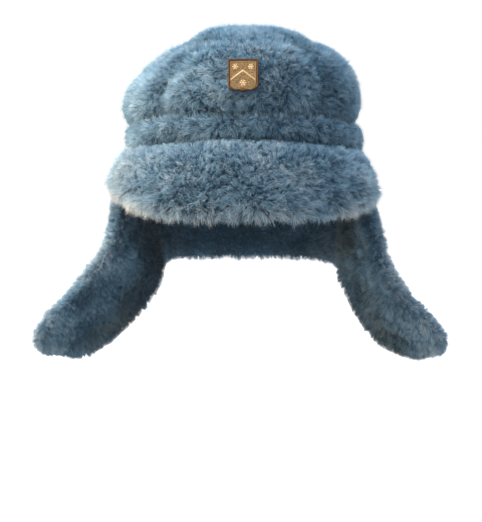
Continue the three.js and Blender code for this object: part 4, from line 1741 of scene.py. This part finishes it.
        points = np.concatenate([face, face[loop] * [1, 1, 0], post])
        ends = [rear[None, ::-1], m[None] + start, m[None, ::-1] + start + n]
        groups = [quads.reshape(-1, 4), walls, ends[0], sides, *ends[1:]]
        middle, ways = self.placement(crown)
        mesh = mesh_of("shield_badge", middle + points @ ways, groups)
        wear_and_painted_light = mix(0.3 + 0.75 * level, 0.32, smooth(2.1 - edge, 0, 0.8)) * mix(0.5, 1, slope)
        set_attribute(mesh, "relief", np.concatenate([wear_and_painted_light.ravel(), np.full(len(loop) + 2 * n, 0.3)]))
        mesh.materials.append(finish)
        made = add_object("shield_badge", mesh)
        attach(made, "root")
        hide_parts("badge")
        LOG.info("shield_badge: %d faces", len(mesh.polygons))


# The studio


@dataclass
class Studio:
    """A pale floor, soft lamps and a camera at the photograph's angle. All its sizes are in metres.

    Attributes:
        distance: from the camera to its target.
        elevation: the camera's angle above level, in degrees.
        target: what the camera looks at.
        floor: the floor's height.
        floor_half: half the floor's side, with the number of points along it.
        glow: how brightly the floor shines by itself for what it lights, and as it is seen.
        aim: where the lamps point.
        lamps: each soft lamp's name, place, side, power in watts and colour.
    """

    distance: float = 2.2
    elevation: float = 5
    sensor: float = 36
    target: tuple = (-0.002, -0.00506, -0.0578)
    floor: float = -0.32
    floor_half: float = 30
    floor_points: int = 13
    glow: tuple = (0.05, 0.85)
    aim: tuple = (0.0, 0.0, 0.03)
    lamps: tuple = (
        ("key_softbox", (-2.0, -0.75, 0.85), 1.1, 255, "#ffe0c4"),
        ("fill_softbox", (2.1, -1.3, 0.5), 2.2, 84, "#fff1e6"),
        ("top_softbox", (-0.2, -0.5, 1.7), 1.2, 84, "#fbf6f0"),
        ("back_softbox", (0.9, 2.1, 1.1), 2.2, 85, "#f4f7ff"),
    )

    def build_camera(self) -> None:
        """Places the camera, where 1 mm at the hat's middle is one pixel of the image."""
        made = bpy.data.cameras.new("camera")
        made.sensor_width = self.sensor
        made.lens = self.sensor * self.distance / MM / max(IMAGE_WIDTH, IMAGE_HEIGHT)
        camera = add_object("camera", made)
        rise = self.elevation * DEGREE
        x, y, z = self.target
        camera.location = (x, y - self.distance * math.cos(rise), z + self.distance * math.sin(rise))
        camera.rotation_euler = (math.pi / 2 - rise, 0, 0)
        bpy.context.scene.camera = camera

    def build_floor(self) -> None:
        """Makes the floor as one wide plane of matt white paper, which looks even and throws no glare."""
        n = self.floor_points
        span = np.linspace(-self.floor_half, self.floor_half, n)
        x, y = np.meshgrid(span, span)
        points = np.stack([x, y, 0 * x + self.floor], -1).reshape(-1, 3)
        number = np.arange(n * n).reshape(n, n)
        quads = np.stack([number[:-1, :-1], number[:-1, 1:], number[1:, 1:], number[1:, :-1]], -1)
        mesh = mesh_of("floor", points / MM, [quads.reshape(-1, 4)])
        even = {"Base Color": linear("#b9b9b9"), "Roughness": 0.95, "Emission Color": linear("#ffffff")}
        paper, tree, shader = new_material("matt_white_paper", even)
        path = add_node(tree, "LightPath")
        strength = {"To Min": self.glow[0], "To Max": self.glow[1]}
        glow = add_node(tree, "MapRange", strength, {"Value": path.outputs["Is Camera Ray"]})
        tree.links.new(glow.outputs[0], shader.inputs["Emission Strength"])
        mesh.materials.append(paper)
        made = add_object("floor", mesh)

    def build_lamp(self, name: str, place: tuple, size: float, power: float, colour: str) -> None:
        """Adds a square soft lamp.

        Args:
            name: the lamp's name.
            place: where it stands, in metres.
            size: its side, in metres.
            power: its power, in watts.
            colour: its light's colour.
        """
        made = bpy.data.lights.new(name, "AREA")
        made.shape = "SQUARE"
        made.size = size
        made.energy = power
        made.color = linear(colour)[:3]
        lamp = add_object(name, made)
        lamp.location = place
        way = np.array(self.aim) - np.array(place)
        flat = math.hypot(way[0], way[1])
        lamp.rotation_euler = (math.atan2(flat, -way[2]), 0, math.atan2(way[1], way[0]) - math.pi / 2)

    def build_world(self) -> None:
        """Lights the air evenly, and shows plain white behind the hat."""
        world = bpy.data.worlds.new("studio_air")
        bpy.context.scene.world = world
        world.use_nodes = True
        tree = world.node_tree
        tree.nodes.clear()
        path = add_node(tree, "LightPath")
        air = add_node(tree, "Background", {"Color": linear("#eceef0"), "Strength": 0.36})
        seen = add_node(tree, "Background", {"Color": (1, 1, 1, 1), "Strength": 1.0})
        parts = {0: path.outputs["Is Camera Ray"], 1: air.outputs[0], 2: seen.outputs[0]}
        either = add_node(tree, "MixShader", links=parts)
        add_node(tree, "OutputWorld", links={"Surface": either.outputs[0]})

    def build(self) -> None:
        """Builds the studio."""
        bpy.context.scene.view_settings.view_transform = "Standard"
        self.build_camera()
        self.build_floor()
        self.build_world()
        for lamp in self.lamps:
            self.build_lamp(*lamp)


def main() -> None:
    """Builds the studio and the hat, piece by piece, and logs each."""
    logging.basicConfig(level=logging.INFO, format="%(name)s: %(message)s")
    Studio().build()
    finishes = [KnittedPile().material(), FlannelLining().material()]
    crown = Crown()
    crown.build(finishes)
    RollBand().build(finishes)
    Visor().build(finishes)
    left = EarFlap(LEFT_ROWS, 1, "ear_flap_left", SEED + 60)
    right = EarFlap(RIGHT_ROWS, -1, "ear_flap_right", SEED + 70)
    left.build(finishes)
    right.build(finishes)
    NeckFlap(left, right).build(finishes)
    Badge().build(crown, GiltBronze().material())


if __name__ == "__main__":
    main()
